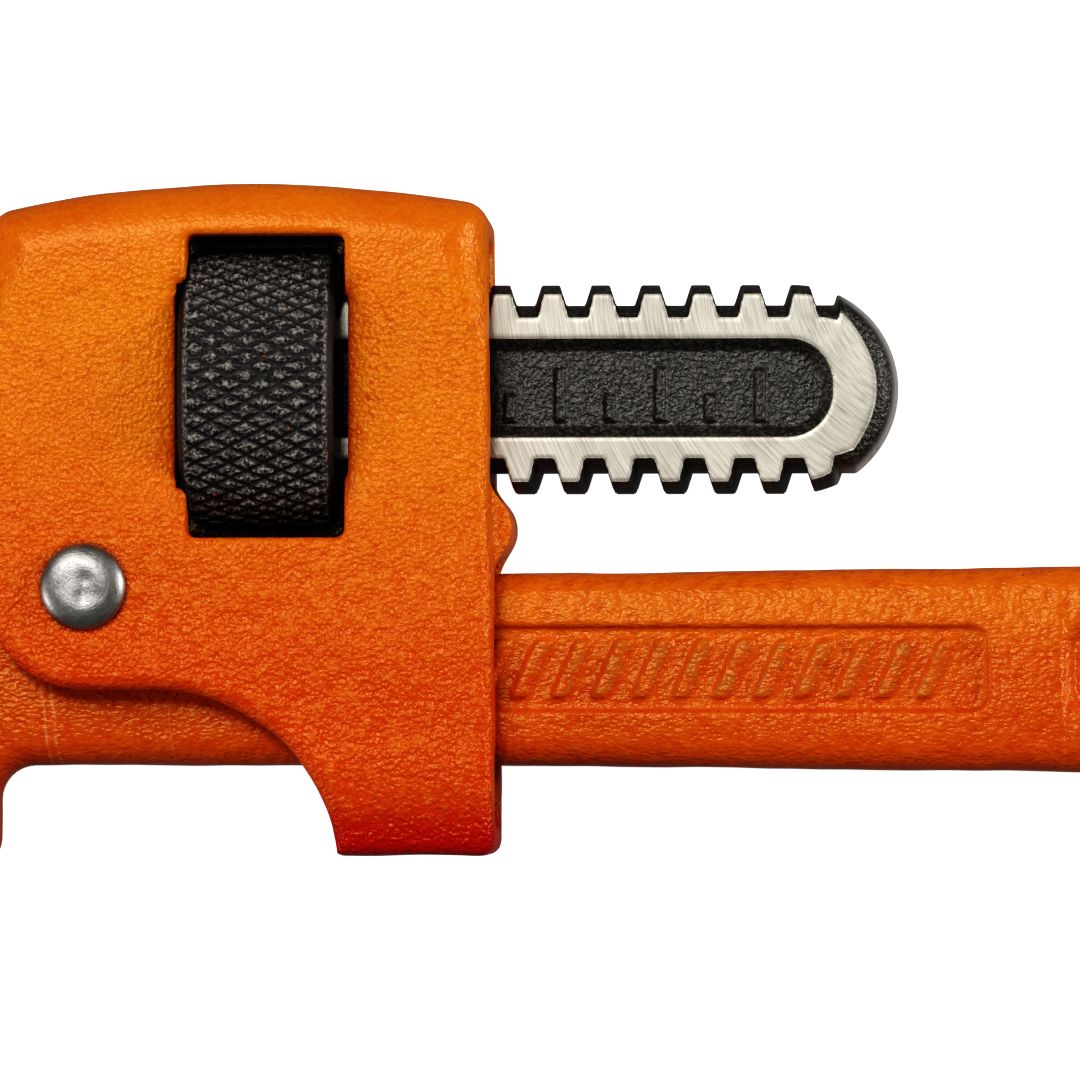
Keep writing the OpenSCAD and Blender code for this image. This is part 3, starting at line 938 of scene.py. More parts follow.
class SubAssembly:
    """A group of pieces that are built, dressed and fastened to the frame together."""

    layout: Layout

    def add(self, obj: bpy.types.Object, body: str, node: str, slot: str,
            material: bpy.types.Material) -> None:
        """Dresses a piece and ties it to the frame.

        Args:
            obj: The piece.
            body: The CAD body that it moves with.
            node: The CAD node that it stands for.
            slot: The record's material slot; not used.
            material: Its material.
        """
        obj.data.materials.clear()
        obj.data.materials.append(material)
        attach(obj, body)
        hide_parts(node)
        log.info("%s: %d points, %d faces, rides on %s", obj.name, len(obj.data.vertices),
                 len(obj.data.polygons), body)


@dataclass
class Handle(SubAssembly):
    """The forged handle with the heel jaw."""

    layout: Layout
    half_t: float = 5.0
    jaw_half_w: float = 8.5
    heel_x: float = -19.0
    heel_back_x: float = -2.5
    back_x: float = -0.3
    heel_top: float = -14.0
    heel_bottom: float = -48.0
    head_top: float = -12.5
    head_end_x: float = 16.0
    top: float = -18.5
    bottom: float = -37.7
    rear_x: float = 49.4
    end_x: float = 250.0
    end_r: float = 12.0
    hang_r: float = 4.5
    pivot_bore_r: float = 3.55
    edge: float = 2.4
    face_crown: float = 0.9
    badge: tuple[float, float] = (36.0, 98.5)
    badge_h: float = 8.0
    badge_depth: float = 0.85
    badge_corner: float = 1.4
    rib_count: int = 14
    rib_lean: float = 0.45
    rib_half_w: float = 0.85
    rib_half_h: float = 2.9
    rib_corner: float = 0.6
    rib_height: float = 0.62
    recess_x: float = 107.4
    recess_rim: float = 6.2
    recess_depth: float = 2.2
    recess_corner: float = 2.5
    recess_end: float = 15.0
    tooth_pitch: float = 2.5
    tooth_depth: float = 1.2
    cell: float = 0.42
    badge_cell: float = 0.3

    @property
    def middle(self) -> float:
        """Height of the handle's centre line."""
        return (self.top + self.bottom) / 2

    def half_h(self, x: Array | float) -> Array | float:
        """Returns half the handle's depth at a place along it."""
        root = (self.top - self.bottom) / 2
        return root + (self.end_r - root) * (x - self.rear_x) / (self.end_x - self.end_r - self.rear_x)

    def plan(self) -> Outline:
        """Returns the handle's plan, from the heel jaw round to the hanging end."""
        corner, fillet, foot, mid_x = 4.0, 3.5, 3.0, self.end_x - self.end_r
        return Outline([
            *arc(self.heel_x + corner, self.heel_top - corner, corner, 180, 90, 8),
            (self.heel_back_x - 3, self.heel_top), (self.heel_back_x, self.head_top),
            (self.head_end_x, self.head_top), (self.head_end_x + 3.5, self.top + 1.5),
            (self.head_end_x + 6.5, self.top), (self.rear_x, self.top),
            *arc(mid_x, self.middle, self.end_r, 90, -90, 28),
            (self.rear_x, self.bottom),
            *arc(self.back_x + fillet, self.bottom - fillet, fillet, 90, 180, 8),
            *arc(self.back_x - foot, self.heel_bottom + foot, foot, 0, -90, 6),
            *arc(self.heel_x + 2, self.heel_bottom + 2, 2, -90, -180, 5)])

    def half_thickness(self, x: Array, y: Array) -> Array:
        """Returns half the handle's thickness: thick at the jaw, then a plate with crowned faces."""
        wide = blend(x, self.heel_back_x + 0.3, self.heel_back_x - 4.5)
        across = np.clip((y - self.middle) / self.half_h(np.maximum(x, self.rear_x)), -1.2, 1.2)
        pad = 0.22 * blend(x, self.recess_x - 1.3, self.recess_x - 0.3)
        groove = 0.25 * np.exp(-((x - self.recess_x + 0.8) / 0.35) ** 2)
        plain = self.half_t - self.face_crown * np.abs(across) ** 2.6 - pad - groove
        return plain + (self.jaw_half_w - plain) * wide

    def panel(self) -> Outline:
        """Returns the plan of the short panel beside the housing."""
        (x0, x1), r = self.badge, self.badge_corner
        y0, y1 = self.middle - self.badge_h / 2, self.middle + self.badge_h / 2
        return Outline([*arc(x1 - r, y0 + r, r, -90, 0, 5), *arc(x1 - r, y1 - r, r, 0, 90, 5),
                        *arc(x0 + r, y1 - r, r, 90, 180, 5), *arc(x0 + r, y0 + r, r, 180, 270, 5)])

    def recess(self) -> Outline:
        """Returns the plan of the long recess that makes the handle an I-section."""
        x0, x1 = self.recess_x, self.end_x - self.end_r - self.hang_r - self.recess_end
        h0, h1 = self.half_h(x0) - self.recess_rim, self.half_h(x1) - self.recess_rim
        r = self.recess_corner
        return Outline([*arc(x0 + r, self.middle - h0 + r, r, 180, 270, 5),
                        *arc(x1, self.middle, h1, -90, 90, 16),
                        *arc(x0 + r, self.middle + h0 - r, r, 90, 180, 5)])

    def ribs(self) -> Distance:
        """Returns the height of the grip ribs that stand on the short panel's floor."""
        x0, x1 = self.badge[0] + 3, self.badge[1] - 3
        gap = (x1 - x0) / self.rib_count
        half_w, half_h = self.rib_half_w - self.rib_corner, self.rib_half_h - self.rib_corner

        def height(x: Array, y: Array, z: Array) -> Array:
            """Height of the ribs at each point."""
            along = x - self.rib_lean * (y - self.middle) - x0
            off = repeat(along - gap / 2, gap)
            there = (x > x0) & (x < x1) & (np.abs(z) < self.half_t + 0.5)
            tall, wide = np.abs(y - self.middle) - half_h, off - half_w
            outside = np.hypot(np.maximum(tall, 0), np.maximum(wide, 0)) - self.rib_corner
            return there * self.rib_height * blend(-outside, -0.3, 0.22)

        return height

    def teeth(self) -> Solid:
        """Returns the cutter of the heel jaw's teeth."""
        first = self.heel_top - 4.0

        def distance(x: Array, y: Array, z: Array) -> Array:
            """Signed distance to the notches."""
            t = np.abs((first - y) / self.tooth_pitch % 1 - 0.5) * 2
            depth = self.tooth_depth * (1 - t) * (y < first) * (y > self.heel_bottom + 3)
            return (x - self.heel_x - depth) * 0.75 + 0 * z

        return Solid(distance)

    def solid(self) -> Solid:
        """Returns the whole handle."""
        body = slab(self.plan(), self.half_thickness, self.edge, draft=0.06)
        body = body.swell(Ripple(0.05, 12)).swell(Ripple(0.02, 4, seed=8))
        body = body.cut(sunk(self.panel(), self.half_t - self.badge_depth, 0.5), 0.3)
        body = body.swell(self.ribs())
        body = body.cut(sunk(self.recess(), self.half_t - self.recess_depth, 0.35), 1.1)
        body = body.cut(self.teeth(), 0.12)
        hang = pin(self.end_x - self.end_r - 1, self.middle, self.hang_r)
        return body.cut(hang, 0.9).cut(pin(self.layout.pivot_x, self.layout.pivot_y, self.pivot_bore_r))

    def build(self, enamel: bpy.types.Material) -> None:
        """Meshes the handle and dresses it.

        Args:
            enamel: Material of the handle.
        """
        x = stretches((self.heel_x - 1, self.heel_back_x + 4, self.cell),
                      (self.heel_back_x + 4.1, self.rear_x - 3, 0.6),
                      (self.rear_x - 3, self.badge[1] + 3, self.badge_cell),
                      (self.badge[1] + 3.1, self.recess_x + 6, self.cell),
                      (self.recess_x + 6.1, self.end_x + 1.5, 0.8))
        y = stretches((self.heel_bottom - 1, self.middle - 5, self.cell),
                      (self.middle - 4.9, self.middle + 4.9, self.badge_cell),
                      (self.middle + 5.0, self.head_top + 1.2, self.cell))
        z = np.arange(-self.jaw_half_w - 1, self.jaw_half_w + 1.2, self.cell)
        points, faces = Mesher(x, y, z).mesh(self.solid())
        obj = make_object("forged_handle", points, faces, self.layout)
        self.add(obj, "handle", "handle", "handle_paint", enamel)


@dataclass
class Housing(SubAssembly):
    """The forged housing that rocks on the handle."""

    layout: Layout
    front_x: float = -1.0
    rear_x: float = 49.4
    half_t: float = 11.0
    cavity_half_w: float = 5.2
    cavity_top: float = 14.8
    floor_y: float = -43.7
    bottom: float = -46.7
    crown: tuple[float, float, float] = (25.7, 20.4, 120.0)
    roof_edge: float = 5.0
    edge: float = 1.5
    lobe_r: float = 10.2
    scoop: tuple[float, float, float] = (15.8, -48.4, 18.2)
    window: tuple[float, float, float] = (19.0, 34.8, 15.1)
    window_corner: float = 0.9
    window_ledge: float = 0.85
    pocket: tuple[float, float, float] = (18.0, 35.1, 14.65)
    pocket_slot_half_h: float = 9.0
    nut_back_x: float = 33.8
    nut_gap: float = 0.18
    nose: tuple[float, float, float] = (47.6, -14.0, 3.7)
    nose_length: float = 4.0
    nut_clearance_r: float = 10.9
    dish_depth: float = 0.85
    dish_length: float = 1.9
    cell: float = 0.4

    def plan(self) -> Outline:
        """Returns the side outline without its roof."""
        px, py = self.layout.pivot_x, self.layout.pivot_y
        sx, sy, sr = self.scoop
        corner, high = 1.5, 40.0
        start = math.degrees(math.acos((self.front_x - px) / self.lobe_r))
        stop = math.degrees(math.asin((self.bottom - sy) / sr))
        return Outline([
            (self.front_x, high), *arc(px, py, self.lobe_r, start, 270, 18),
            *arc(sx, sy, sr, 90, stop, 20),
            *arc(self.rear_x + 0.2 - corner, self.bottom + corner, corner, -90, 0, 5),
            (self.rear_x + 0.1, -21.0), (self.rear_x - 0.3, -11.0), (self.rear_x - 0.4, 9.0),
            (self.rear_x - 0.6, high)])

    def shell(self) -> Solid:
        """Returns the outer shape, whose edge rounding grows towards the crowned roof."""
        side = self.plan()
        cx, cy, cr = self.crown

        def distance(x: Array, y: Array, z: Array) -> Array:
            """Signed distance to the outer shape."""
            roof = np.hypot(x - cx, y - cy + cr) - cr
            plan = rounded_max(side.distance(x, y), roof, 2.2)
            edge = self.edge + (self.roof_edge - self.edge) * blend(y, 3.0, 15.0)
            taper = 0.3 * blend(y, -26.0, -34.0) + 1.7 * blend(y, -37.0, self.bottom - 1)
            return rounded_max(plan, np.abs(z) - self.half_t + taper, edge)

        return Solid(distance)

    def cavity(self) -> Solid:
        """Returns the cutter of the inside, open at the front and at the rear."""
        middle, half = (self.cavity_top + self.floor_y) / 2, (self.cavity_top - self.floor_y) / 2
        return Solid(lambda x, y, z: 0 * x + rounded_max(
            np.abs(y - middle) - half, np.abs(z) - self.cavity_half_w, 1.2))

    def bridge(self) -> Solid:
        """Returns the bridge between the walls with its round nose."""
        nx, ny, nr = self.nose
        return Solid(lambda x, y, z: np.maximum(
            np.hypot(x - np.clip(x, nx - self.nose_length, nx), y - ny) - nr,
            np.abs(z) - self.cavity_half_w - 1.5))

    def opening(self) -> Solid:
        """Returns the cutter of the window in both walls."""
        (x0, x1, half_h), r = self.window, self.window_corner
        middle, half = (x0 + x1) / 2, (x1 - x0) / 2

        def distance(x: Array, y: Array, z: Array) -> Array:
            """Signed distance to the window, which narrows close to the cavity."""
            inner = self.window_ledge * blend(np.abs(z), 7.6, 6.4)
            return rounded_max(np.abs(x - middle) - half + inner, np.abs(y) - half_h + inner, r + inner)

        return Solid(distance)

    def lips(self) -> Distance:
        """Returns the shallow dish that the die leaves in front of and behind the nut."""
        x0, x1, _ = self.window

        def height(x: Array, y: Array, z: Array) -> Array:
            """Height of the skin, negative in the dish."""
            off = np.maximum(np.maximum(x0 - x, x - x1), 0)
            along = np.exp(-(off / self.dish_length) ** 2)
            across = blend(np.abs(y), 12.5, 7.5)
            return -self.dish_depth * along * across * (np.abs(z) > 7)

        return height

    def solid(self) -> Solid:
        """Returns the whole housing."""
        body = self.shell().swell(Ripple(0.06, 12, seed=5)).swell(Ripple(0.02, 4, seed=6))
        body = body.swell(self.lips()).cut(self.cavity(), 0.9)
        body = body.join(self.bridge().cut(rod(self.nut_clearance_r), 0.3), 1.4)
        body = body.cut(self.opening(), 0.7)
        x0, x1, r = self.pocket
        behind = Solid(lambda x, y, z: 0 * z + np.maximum(
            np.abs(y) - self.pocket_slot_half_h, np.maximum(x0 - x, x - x1)))
        body = body.cut(rod(r, x0, self.nut_back_x + self.nut_gap), 0.15)
        return body.cut(rod(r).common(behind), 0.3)

    def build(self, enamel: bpy.types.Material) -> None:
        """Meshes the housing and dresses it.

        Args:
            enamel: Material of the housing.
        """
        low = (self.layout.pivot_x - self.lobe_r, self.bottom, -self.half_t)
        nose_end = self.nose[0] + self.nose[2]
        high = (nose_end + 0.7, self.crown[1] + 0.2, self.half_t)
        grid = Mesher.around(low, high, self.cell)
        points, faces = grid.mesh(self.solid())
        obj = make_object("forged_housing", points, faces, self.layout)
        self.add(obj, "housing", "housing", "housing_paint", enamel)


@dataclass
class HookJaw(SubAssembly):
    """The hook jaw: a forged hook on a flat-sided threaded shank."""

    layout: Layout
    thread_r: float = 10.5
    root_r: float = 8.45
    lead: float = 5.0
    crest_w: float = 1.8
    root_w: float = 1.9
    last_groove_x: float = 82.4
    first_groove_x: float = 9.0
    half_t: float = 4.7
    tip_x: float = 89.8
    panel: tuple[float, float] = (10.0, 83.3)
    panel_h: float = 9.9
    panel_depth: float = 1.2
    panel_slope: float = 1.2
    panel_corner: float = 3.3
    tick_gap: float = 5.0
    tick_half_w: float = 0.5
    tick_height: float = 0.6
    tick_foot: float = -3.3
    tick_tops: tuple[float, float] = (1.9, -0.7)
    jaw_half_w: float = 8.5
    face_x: float = -31.0
    back_x: float = -51.0
    drop: float = 50.0
    lean: float = 3.0
    neck_y: float = 10.2
    throat_r: float = 8.0
    back_r: float = 17.0
    tooth_pitch: float = 2.5
    tooth_depth: float = 1.2
    cell: float = 0.42

    def plan(self) -> Outline:
        """Returns the plan of the hook and its neck."""
        throat_y = -self.neck_y - self.throat_r
        tip_x = self.face_x - math.tan(math.radians(self.lean)) * (self.drop + throat_y)
        back_r = self.back_r
        return Outline([
            (3.0, -self.neck_y + 1), (-5.0, -self.neck_y),
            *arc(self.face_x + self.throat_r, throat_y, self.throat_r, 90, 180, 12),
            (tip_x, -self.drop + 1.5), (tip_x - 1.5, -self.drop),
            *arc(self.back_x + 7, -self.drop + 5, 5, -90, -165, 8),
            (self.back_x, -self.drop + 16),
            *arc(self.back_x + back_r, self.neck_y + 0.6 - back_r, back_r, 180, 90, 18),
            (self.back_x + back_r + 6, self.neck_y + 0.6), (-5.0, self.neck_y), (3.0, self.neck_y - 1)])

    def head(self) -> Solid:
        """Returns the hook, thick at its jaw and as thin as the shank at its neck."""

        def half(x: Array, y: Array) -> Array:
            """Half the thickness."""
            wide = blend(x, self.face_x + 11.5, self.face_x + 2.0)
            return self.half_t + (self.jaw_half_w - self.half_t) * wide + 0 * y

        return slab(self.plan(), half, 2.2, draft=0.04).swell(Ripple(0.1, 8, seed=11))

    def thread(self) -> Distance:
        """Returns the depth of the helical groove below the thread's crests."""
        depth = self.thread_r - self.root_r
        half_root, half_mouth = self.root_w / 2, (self.lead - self.crest_w) / 2

        def height(x: Array, y: Array, z: Array) -> Array:
            """Depth at each point, as a negative height."""
            turn = np.arctan2(z, y) / (2 * math.pi)
            off = repeat((x - self.last_groove_x) / self.lead - turn, 1) * self.lead
            groove = depth * (1 - np.clip((off - half_root) / (half_mouth - half_root), 0, 1))
            end_low = self.first_groove_x - self.lead / 2
            end_high = self.last_groove_x + self.lead * 0.9
            return -groove * ((x > end_low) & (x < end_high))

        return height

    def shank(self) -> Solid:
        """Returns the threaded shank with its domed tip."""
        groove = self.thread()
        x0, x1 = -8.0, self.tip_x - self.thread_r

        def distance(x: Array, y: Array, z: Array) -> Array:
            """Signed distance to the shank."""
            dome = np.sqrt(np.maximum(x - x1, 0) ** 2 + y * y + z * z) - self.thread_r
            round_bar = np.maximum(dome, (np.hypot(y, z) - self.thread_r - groove(x, y, z)) * 0.93)
            round_bar = np.maximum(round_bar, x0 - x)
            rim = 0.14 + 1.2 * blend(x, self.tip_x - 8.0, self.tip_x - 2.5)
            return rounded_max(round_bar, np.abs(z) - self.half_t, rim)

        return Solid(distance)

    def sunk_panel(self) -> Outline:
        """Returns the plan of the sunk panel in the shank's face."""
        r, corner = self.panel_h / 2 - self.panel_slope, self.panel_corner
        x0, x1 = self.panel[0], self.panel[1] - self.panel_slope
        return Outline([*arc(x1 - corner, corner - r, corner, -90, 0, 10),
                        *arc(x1 - corner, r - corner, corner, 0, 90, 10),
                        *arc(x0 + r, 0, r, 90, 270, 20)])

    def ticks(self) -> Distance:
        """Returns the height of the opening scale's ticks on the panel's floor."""
        x0, x1 = self.panel[0] + 6, self.panel[1] - 6
        long_top, short_top = self.tick_tops

        def height(x: Array, y: Array, z: Array) -> Array:
            """Height of the ticks at each point."""
            number = np.round((x - x0) / self.tick_gap)
            off = repeat(x - x0, self.tick_gap) - self.tick_half_w
            top = np.where(number % 2 == 0, long_top, short_top)
            mark = np.maximum(off, np.maximum(y - top, self.tick_foot - y))
            there = (x > x0 - 1) & (x < x1 + 1) & (np.abs(y) < self.panel_h / 2 - 0.6)
            return there * self.tick_height * blend(-mark, -0.26, 0.2)

        return height

    def teeth(self) -> Solid:
        """Returns the cutter of the hook's teeth."""
        top_y, bottom_y = -self.neck_y - self.throat_r, -self.drop + 3
        slope = math.tan(math.radians(self.lean))

        def distance(x: Array, y: Array, z: Array) -> Array:
            """Signed distance to the notches."""
            face = self.face_x - slope * (top_y - y)
            t = np.abs((top_y - y) / self.tooth_pitch % 1 - 0.5) * 2
            depth = self.tooth_depth * (1 - t) * (y < top_y) * (y > bottom_y)
            return (face - depth - x) * 0.75 + 0 * z

        return Solid(distance)

    def solid(self) -> Solid:
        """Returns the whole hook jaw."""
        floor = self.half_t - self.panel_depth
        shank = self.shank().cut(sunk(self.sunk_panel(), floor, 1.0), 0.2).swell(self.ticks())
        teeth, throat = self.teeth(), self.neck_y + self.throat_r
        mouth = Solid(lambda x, y, z: np.maximum(teeth.distance(x, y, z), y + throat))
        return shank.join(self.head(), 0.6).cut(mouth, 0.1)

    def build(self, steel: bpy.types.Material) -> None:
        """Meshes the hook jaw and dresses it.

        Args:
            steel: Material of the jaw.
        """
        x = stretches((self.back_x - 1, -3, self.cell), (-2.9, 36, self.cell),
                      (36.1, self.tip_x + 1, 0.27))
        y = stretches((-self.drop - 1, -self.thread_r - 1, self.cell),
                      (-self.thread_r - 0.9, self.thread_r + 1.6, 0.29))
        z = stretches((-self.jaw_half_w - 1, -5.2, self.cell), (-5.05, 5.2, 0.2),
                      (5.35, self.jaw_half_w + 1.2, self.cell))
        points, faces = Mesher(x, y, z).mesh(self.solid())
        obj = make_object("hook_jaw_forging", points, faces, self.layout)
        self.add(obj, "jaw", "hook_jaw", "jaw_steel", steel)


@dataclass
class AdjustingNut(SubAssembly):
    """The knurled nut on the shank."""

    layout: Layout
    x0: float = 18.3
    x1: float = 33.8
    r: float = 14.25
    bevel: float = 0.85
    bore_r: float = 10.75
    thread_r: float = 8.65
    lead: float = 5.0
    groove_x: float = 82.4
    starts: int = 48
    knurl_period: float = 3.42
    knurl_depth: float = 0.44
    knurl_half_w: float = 0.46
    ridge_half_w: float = 1.7
    ridge_flank: float = 0.75
    around: int = 768
    rows: int = 102
    bore_rows: int = 20

    def knurl(self, x: float, turn: Array) -> Array:
        """Returns the depth of the crossed V grooves.

        Args:
            x: Place along the nut.
            turn: Part of a turn of each point.

        Returns:
            The depth at each point.
        """
        across = 2 * math.pi * self.r / self.starts
        spacing = 1 / math.hypot(1 / across, 1 / self.knurl_period)
        depth: Array | float = 0.0
        for sense in (-1, 1):
            phase = turn * self.starts + sense * (x - self.x0) / self.knurl_period
            off = repeat(phase, 1) * spacing
            flank = np.clip(1 - off / self.knurl_half_w, 0, 1) ** 0.8
            depth = np.maximum(depth, self.knurl_depth * flank)
        return depth

    def inner(self, x: float, turn: Array) -> Array:
        """Returns the radius of the threaded bore."""
        off = repeat((x - self.groove_x) / self.lead - turn, 1) * self.lead
        ridge = np.clip((self.ridge_half_w - off) / self.ridge_flank, 0, 1)
        fade = min(1.0, max(0.0, min(x - self.x0 - 0.6, self.x1 - x - 0.6) / 1.2))
        return self.bore_r - (self.bore_r - self.thread_r) * ridge * fade

    def build(self, oxide: bpy.types.Material) -> None:
        """Builds the nut ring by ring and dresses it.

        Args:
            oxide: Material of the nut.
        """
        turn = np.arange(self.around) / self.around
        angle = 2 * math.pi * turn
        start, stop, b = self.x0 + self.bevel, self.x1 - self.bevel, self.bevel
        rim = [(b - 0.12, self.r - 0.12), (0.1, self.r - b + 0.1), (0.0, self.r - b - 0.15),
               (0.0, self.bore_r + 0.5)]
        plain = np.ones(self.around)
        rings: list[tuple[float, Array]] = []
        for x in np.linspace(start, stop, self.rows):
            fade = min(1.0, (x - start) / 0.25, (stop - x) / 0.25)
            rings.append((x, self.r - self.knurl(x, turn) * max(fade, 0.0)))
        rings += [(self.x1 - inset, radius * plain) for inset, radius in rim]
        for x in np.linspace(self.x1 - 0.4, self.x0 + 0.4, self.bore_rows):
            rings.append((x, self.inner(x, turn)))
        rings += [(self.x0 + inset, radius * plain) for inset, radius in reversed(rim)]
        points = np.concatenate([
            np.stack([np.full(self.around, x), radius * np.cos(angle), radius * np.sin(angle)], 1)
            for x, radius in rings])
        faces = ring_faces(len(rings), self.around, closed=True, inward=True)
        obj = make_object("knurled_nut", points, faces, self.layout)
        self.add(obj, "nut", "adjusting_nut", "black_oxide", oxide)


@dataclass
class Rivets(SubAssembly):
    """The pivot rivet, and the small rivets of the springs."""

    layout: Layout
    shank_r: float = 3.5
    half_l: float = 11.0
    head_r: float = 4.3
    head_h: float = 1.9
    head_lip: float = 0.25
    head_rows: int = 26
    dents: int = 9
    dent_depth: float = 0.16
    around: int = 128

    def turned(self, profile: Points) -> tuple[Array, list[list[int]]]:
        """Turns a profile about Z.

        Args:
            profile: Pairs of radius and height.

        Returns:
            The points and the quads.
        """
        angle = 2 * math.pi * np.arange(self.around) / self.around
        rows = [np.stack([r * np.cos(angle), r * np.sin(angle), np.full(self.around, h)], 1)
                for r, h in profile]
        return np.concatenate(rows), ring_faces(len(profile), self.around, closed=False, inward=True)

    def dent(self, points: Array, seed: int = 4) -> None:
        """Presses hammer dents into both heads of the pivot rivet.

        Args:
            points: The rivet's points, which are moved.
            seed: Seed of the dents' places.
        """
        rng = np.random.default_rng(seed)
        for side in (-1, 1):
            for _ in range(self.dents):
                far, way = rng.uniform(0, 0.5), rng.uniform(0, 2 * math.pi)
                wide, deep = rng.uniform(0.7, 1.5), self.dent_depth * rng.uniform(0.4, 1)
                spot = far * self.head_r * np.array([math.cos(way), math.sin(way)])
                near = np.exp(-((points[:, :2] - spot) ** 2).sum(1) / wide ** 2)
                near *= side * points[:, 2] > self.half_l + 0.3
                points[:, 2] -= side * deep * near

    def dome(self) -> Points:
        """Returns the profile of one peened head, from its edge to its crown."""
        rise = self.head_h - self.head_lip
        angles = [math.pi / 2 * i / self.head_rows for i in range(self.head_rows)]
        dome = [(self.head_r * math.cos(a) ** 0.9, self.head_lip + rise * math.sin(a) ** 0.85)
                for a in angles]
        return [(self.head_r - 0.15, 0.0), (self.head_r, 0.12), *dome, (0.02, self.head_h)]

    def build(self, steel: bpy.types.Material) -> None:
        """Builds all rivets and dresses them.

        Args:
            steel: Material of the rivets.
        """
        upper = [(r, self.half_l + h) for r, h in self.dome()]
        lower = [(r, -h) for r, h in reversed(upper)]
        shank = [(self.shank_r, -self.half_l), (self.shank_r, self.half_l)]
        points, faces = self.turned([*lower, *shank, *upper])
        self.dent(points)
        points[:, :2] += (self.layout.pivot_x, self.layout.pivot_y)
        obj = make_object("pivot_rivet_peened", points, faces, self.layout)
        self.add(obj, "housing", "pivot_rivet", "rivet_steel", steel)
        for name in ("jaw_spring_rivet", "handle_spring_rivet"):
            self.small(name, steel)

    def small(self, node: str, steel: bpy.types.Material) -> None:
        """Builds one small spring rivet inside its CAD node's box.

        Args:
            node: Name of the CAD node.
            steel: Material of the rivet.
        """
        low, high = self.layout.box(node)
        middle, length = (low + high) / 2, high[1] - low[1]
        shank_r = (high[0] - low[0]) / 3.4
        cap = [(1.7 * shank_r, length - 0.5), (1.72 * shank_r, length - 0.4),
               (1.5 * shank_r, length - 0.12), (shank_r, length - 0.02), (0.02, length)]
        profile = [(0.02, 0.0), (shank_r * 0.9, 0.0), (shank_r, 0.15), (shank_r, length - 0.5), *cap]
        points, faces = self.turned(profile)
        sense = 1 if node.startswith("jaw") else -1
        base = low[1] if sense > 0 else high[1]
        x, y, z = points.T
        points = np.stack([x + middle[0], base + sense * z, -sense * y + middle[2]], 1)
        obj = make_object(f"{node}_set", points, faces, self.layout)
        self.add(obj, "handle", node, "rivet_steel", steel)


@dataclass
class FlatSprings(SubAssembly):
    """The two leaf springs inside the housing.
    """

    layout: Layout
    width: float = 8.0
    hold_part: float = 0.34
    steps: int = 28
    keep: float = 0.5

    def leaf(self, node: str, thick: float, sense: int, held_low_x: bool,
             blue: bpy.types.Material) -> None:
        """Builds one leaf: flat where it is riveted, then bending by a parabola.

        Args:
            node: Name of the CAD node.
            thick: Thickness of the leaf.
            sense: 1 if its free end rises, -1 if it falls.
            held_low_x: Whether the riveted end is the one at the lower X.
            blue: Material of the leaf.
        """
        low, high = self.layout.box(node)
        base = low[1] if sense > 0 else high[1]
        lift = high[1] - low[1] - thick
        part = np.linspace(0, 1, self.steps)
        rise = base + sense * lift * np.maximum((part - self.hold_part) / (1 - self.hold_part), 0) ** 2
        x = low[0] + (high[0] - low[0]) * (part if held_low_x else 1 - part)
        edge = 0.12 * thick
        half = self.width / 2
        section = [(-half + edge, 0.0), (half - edge, 0.0), (half, edge), (half, thick - edge),
                   (half - edge, thick), (-half + edge, thick), (-half, thick - edge), (-half, edge)]
        points = np.array([(px, py + sense * h, w) for px, py in zip(x, rise) for w, h in section])
        count = len(section)
        faces = ring_faces(self.steps, count, closed=False)
        faces += [list(range(count)), [count * (self.steps - 1) + i for i in reversed(range(count))]]
        obj = make_object(f"{node}_leaf", points, faces, self.layout, smooth=False)
        self.add(obj, "handle", node, "spring_steel", blue)
        anchor = self.layout.to_frame(np.array([low[0], base, 0.0]))
        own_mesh(obj)

    def build(self, blue: bpy.types.Material) -> None:
        """Builds both springs and dresses them.

        Args:
            blue: Material of the springs.
        """
        self.leaf("jaw_spring", 0.7, 1, False, blue)
        self.leaf("handle_spring", 1.0, -1, True, blue)


# ---------------------------------------------------------------- studio


@dataclass(frozen=True)
class Softbox:
    """A square soft light: its place in metres from the camera's aim, its side in metres, its watts."""

    name: str
    spot: tuple[float, float, float]
    size: float
    power: float


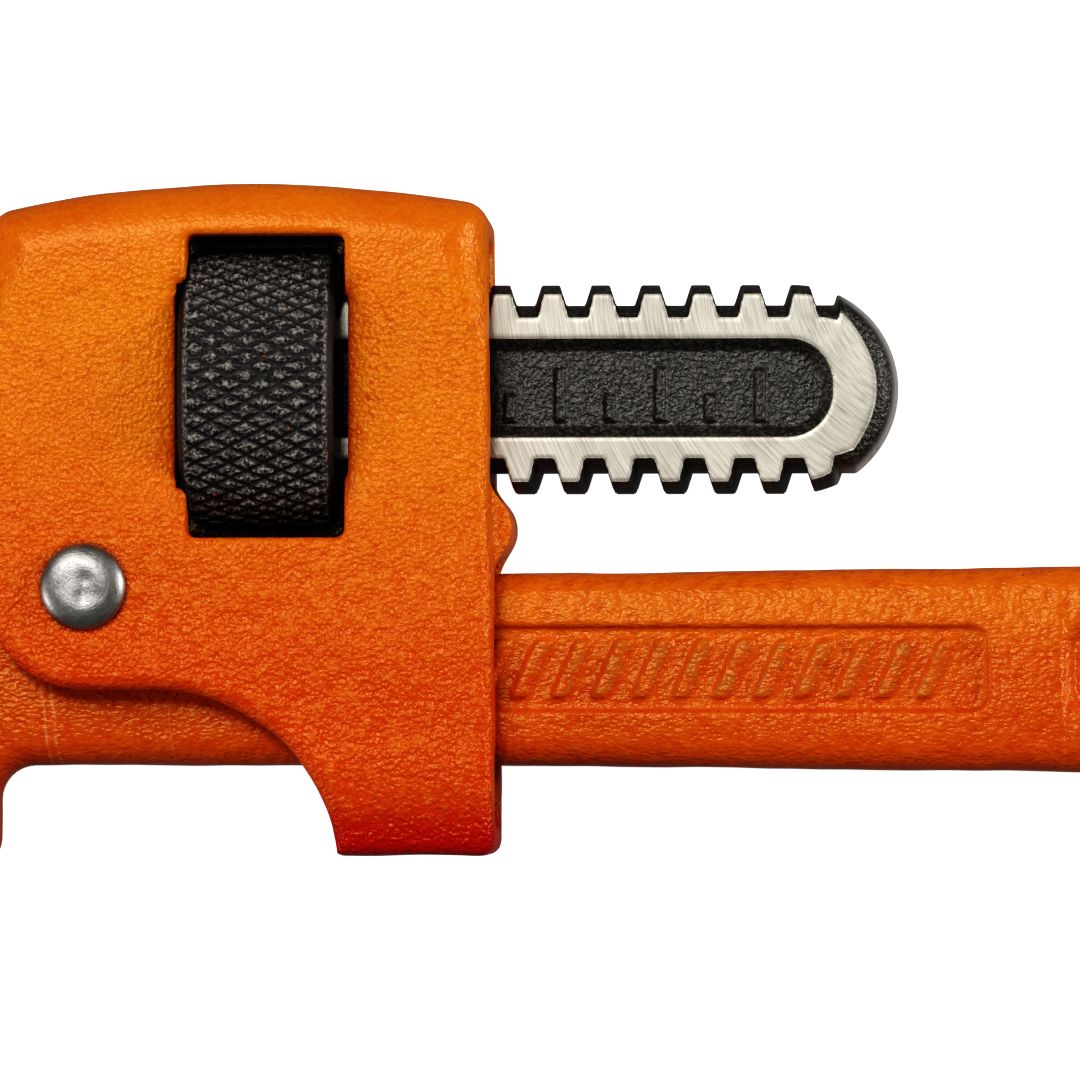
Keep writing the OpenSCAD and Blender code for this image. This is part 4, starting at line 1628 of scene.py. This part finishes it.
@dataclass
class Studio:
    """Floor, lights and camera."""

    layout: Layout
    aim: tuple[float, float, float] = (54.0, -15.2, 4.0)
    eye: tuple[float, float, float] = (100.0, -46.0, 1030.0)
    view_width: float = 108.0
    sensor_width: float = 36.0
    floor_half: float = 1.6
    sky: float = 0.16
    softboxes: tuple[Softbox, ...] = (
        Softbox("key_softbox", (-0.34, 0.50, 1.03), 0.5, 8),
        Softbox("spark_softbox", (-0.16, 0.36, 1.25), 0.22, 4.5),
        Softbox("rim_softbox", (1.2, 0.2, 0.4), 0.4, 11),
        Softbox("edge_softbox", (-1.1, -0.3, 0.35), 0.4, 4.5))
    tone_curve: tuple[tuple[float, float], ...] = ((0.04, 0.014), (0.14, 0.11), (0.45, 0.47))

    def light(self, softbox: Softbox) -> None:
        """Adds a soft light that points at the wrench."""
        data = bpy.data.lights.new(softbox.name, "AREA")
        data.shape = "SQUARE"
        data.size = softbox.size
        data.energy = softbox.power
        obj = bpy.data.objects.new(softbox.name, data)
        bpy.context.collection.objects.link(obj)
        target = self.layout.to_frame(np.array(self.aim))
        obj.location = target + np.array(softbox.spot)
        obj.rotation_euler = look(target - np.array(obj.location))

    def floor(self) -> None:
        """Lays the floor under the wrench, out of its light and its reflections."""
        floor_z = float(cad_bounds[0][2])
        s = self.floor_half
        corners = [(-s, -s, floor_z), (s, -s, floor_z), (s, s, floor_z), (-s, s, floor_z)]
        mesh = bpy.data.meshes.new("studio_floor")
        mesh.from_pydata(corners, [], [(0, 1, 2, 3)])
        floor = bpy.data.objects.new("studio_floor", mesh)
        bpy.context.collection.objects.link(floor)
        mesh.materials.append(PaleFloor("pale_floor", self.layout).material())
        floor.visible_diffuse = floor.visible_glossy = False

    def build(self) -> None:
        """Builds the studio and sets how the picture is developed."""
        self.floor()
        for softbox in self.softboxes:
            self.light(softbox)
        world = bpy.data.worlds.new("studio_world")
        world.use_nodes = True
        background = world.node_tree.nodes["Background"]
        background.inputs["Color"].default_value = (1, 1, 1, 1)
        background.inputs["Strength"].default_value = self.sky
        scene = bpy.context.scene
        scene.world = world
        view = scene.view_settings
        view.view_transform = "Standard"
        view.use_curve_mapping = True
        for spot in self.tone_curve:
            view.curve_mapping.curves[3].points.new(*spot)
        view.curve_mapping.update()
        self.camera(scene)

    def camera(self, scene: bpy.types.Scene) -> None:
        """Adds the camera above the wrench, looking down at its side."""
        aim = self.layout.to_frame(np.array(self.aim))
        eye = self.layout.to_frame(np.array(self.eye))
        data = bpy.data.cameras.new("camera")
        distance = float(np.linalg.norm(aim - eye))
        data.sensor_width = self.sensor_width
        data.lens = self.sensor_width * distance / (self.view_width * MM)
        data.clip_start, data.clip_end = 0.05, 20.0
        obj = bpy.data.objects.new("camera", data)
        bpy.context.collection.objects.link(obj)
        obj.location = eye
        obj.rotation_euler = look(aim - eye)
        scene.camera = obj


def look(direction: Array) -> tuple[float, float, float]:
    """Returns the rotation that points an object's -Z along a direction, with +Y up in its view."""
    back = -np.asarray(direction, float) / np.linalg.norm(direction)
    right = np.cross((0.0, 1.0, 0.0), back)
    right /= np.linalg.norm(right)
    up = np.cross(back, right)
    pitch = math.asin(max(-1.0, min(1.0, -right[2])))
    return math.atan2(up[2], back[2]), pitch, math.atan2(right[1], right[0])


def main() -> None:
    """Builds the wrench piece by piece, then the studio."""
    logging.basicConfig(level=logging.INFO, format="%(name)s %(message)s")
    layout = Layout()
    Housing(layout).build(HousingEnamel("housing_enamel", layout).material())
    Handle(layout).build(HandleEnamel("handle_enamel", layout).material())
    HookJaw(layout).build(GroundSteel("ground_steel", layout).material())
    AdjustingNut(layout).build(BlackOxide("black_oxide", layout).material())
    Rivets(layout).build(BareSteel("peened_steel", layout).material())
    FlatSprings(layout).build(SpringSteel("blued_steel", layout).material())
    Studio(layout).build()


if __name__ == "__main__":
    main()
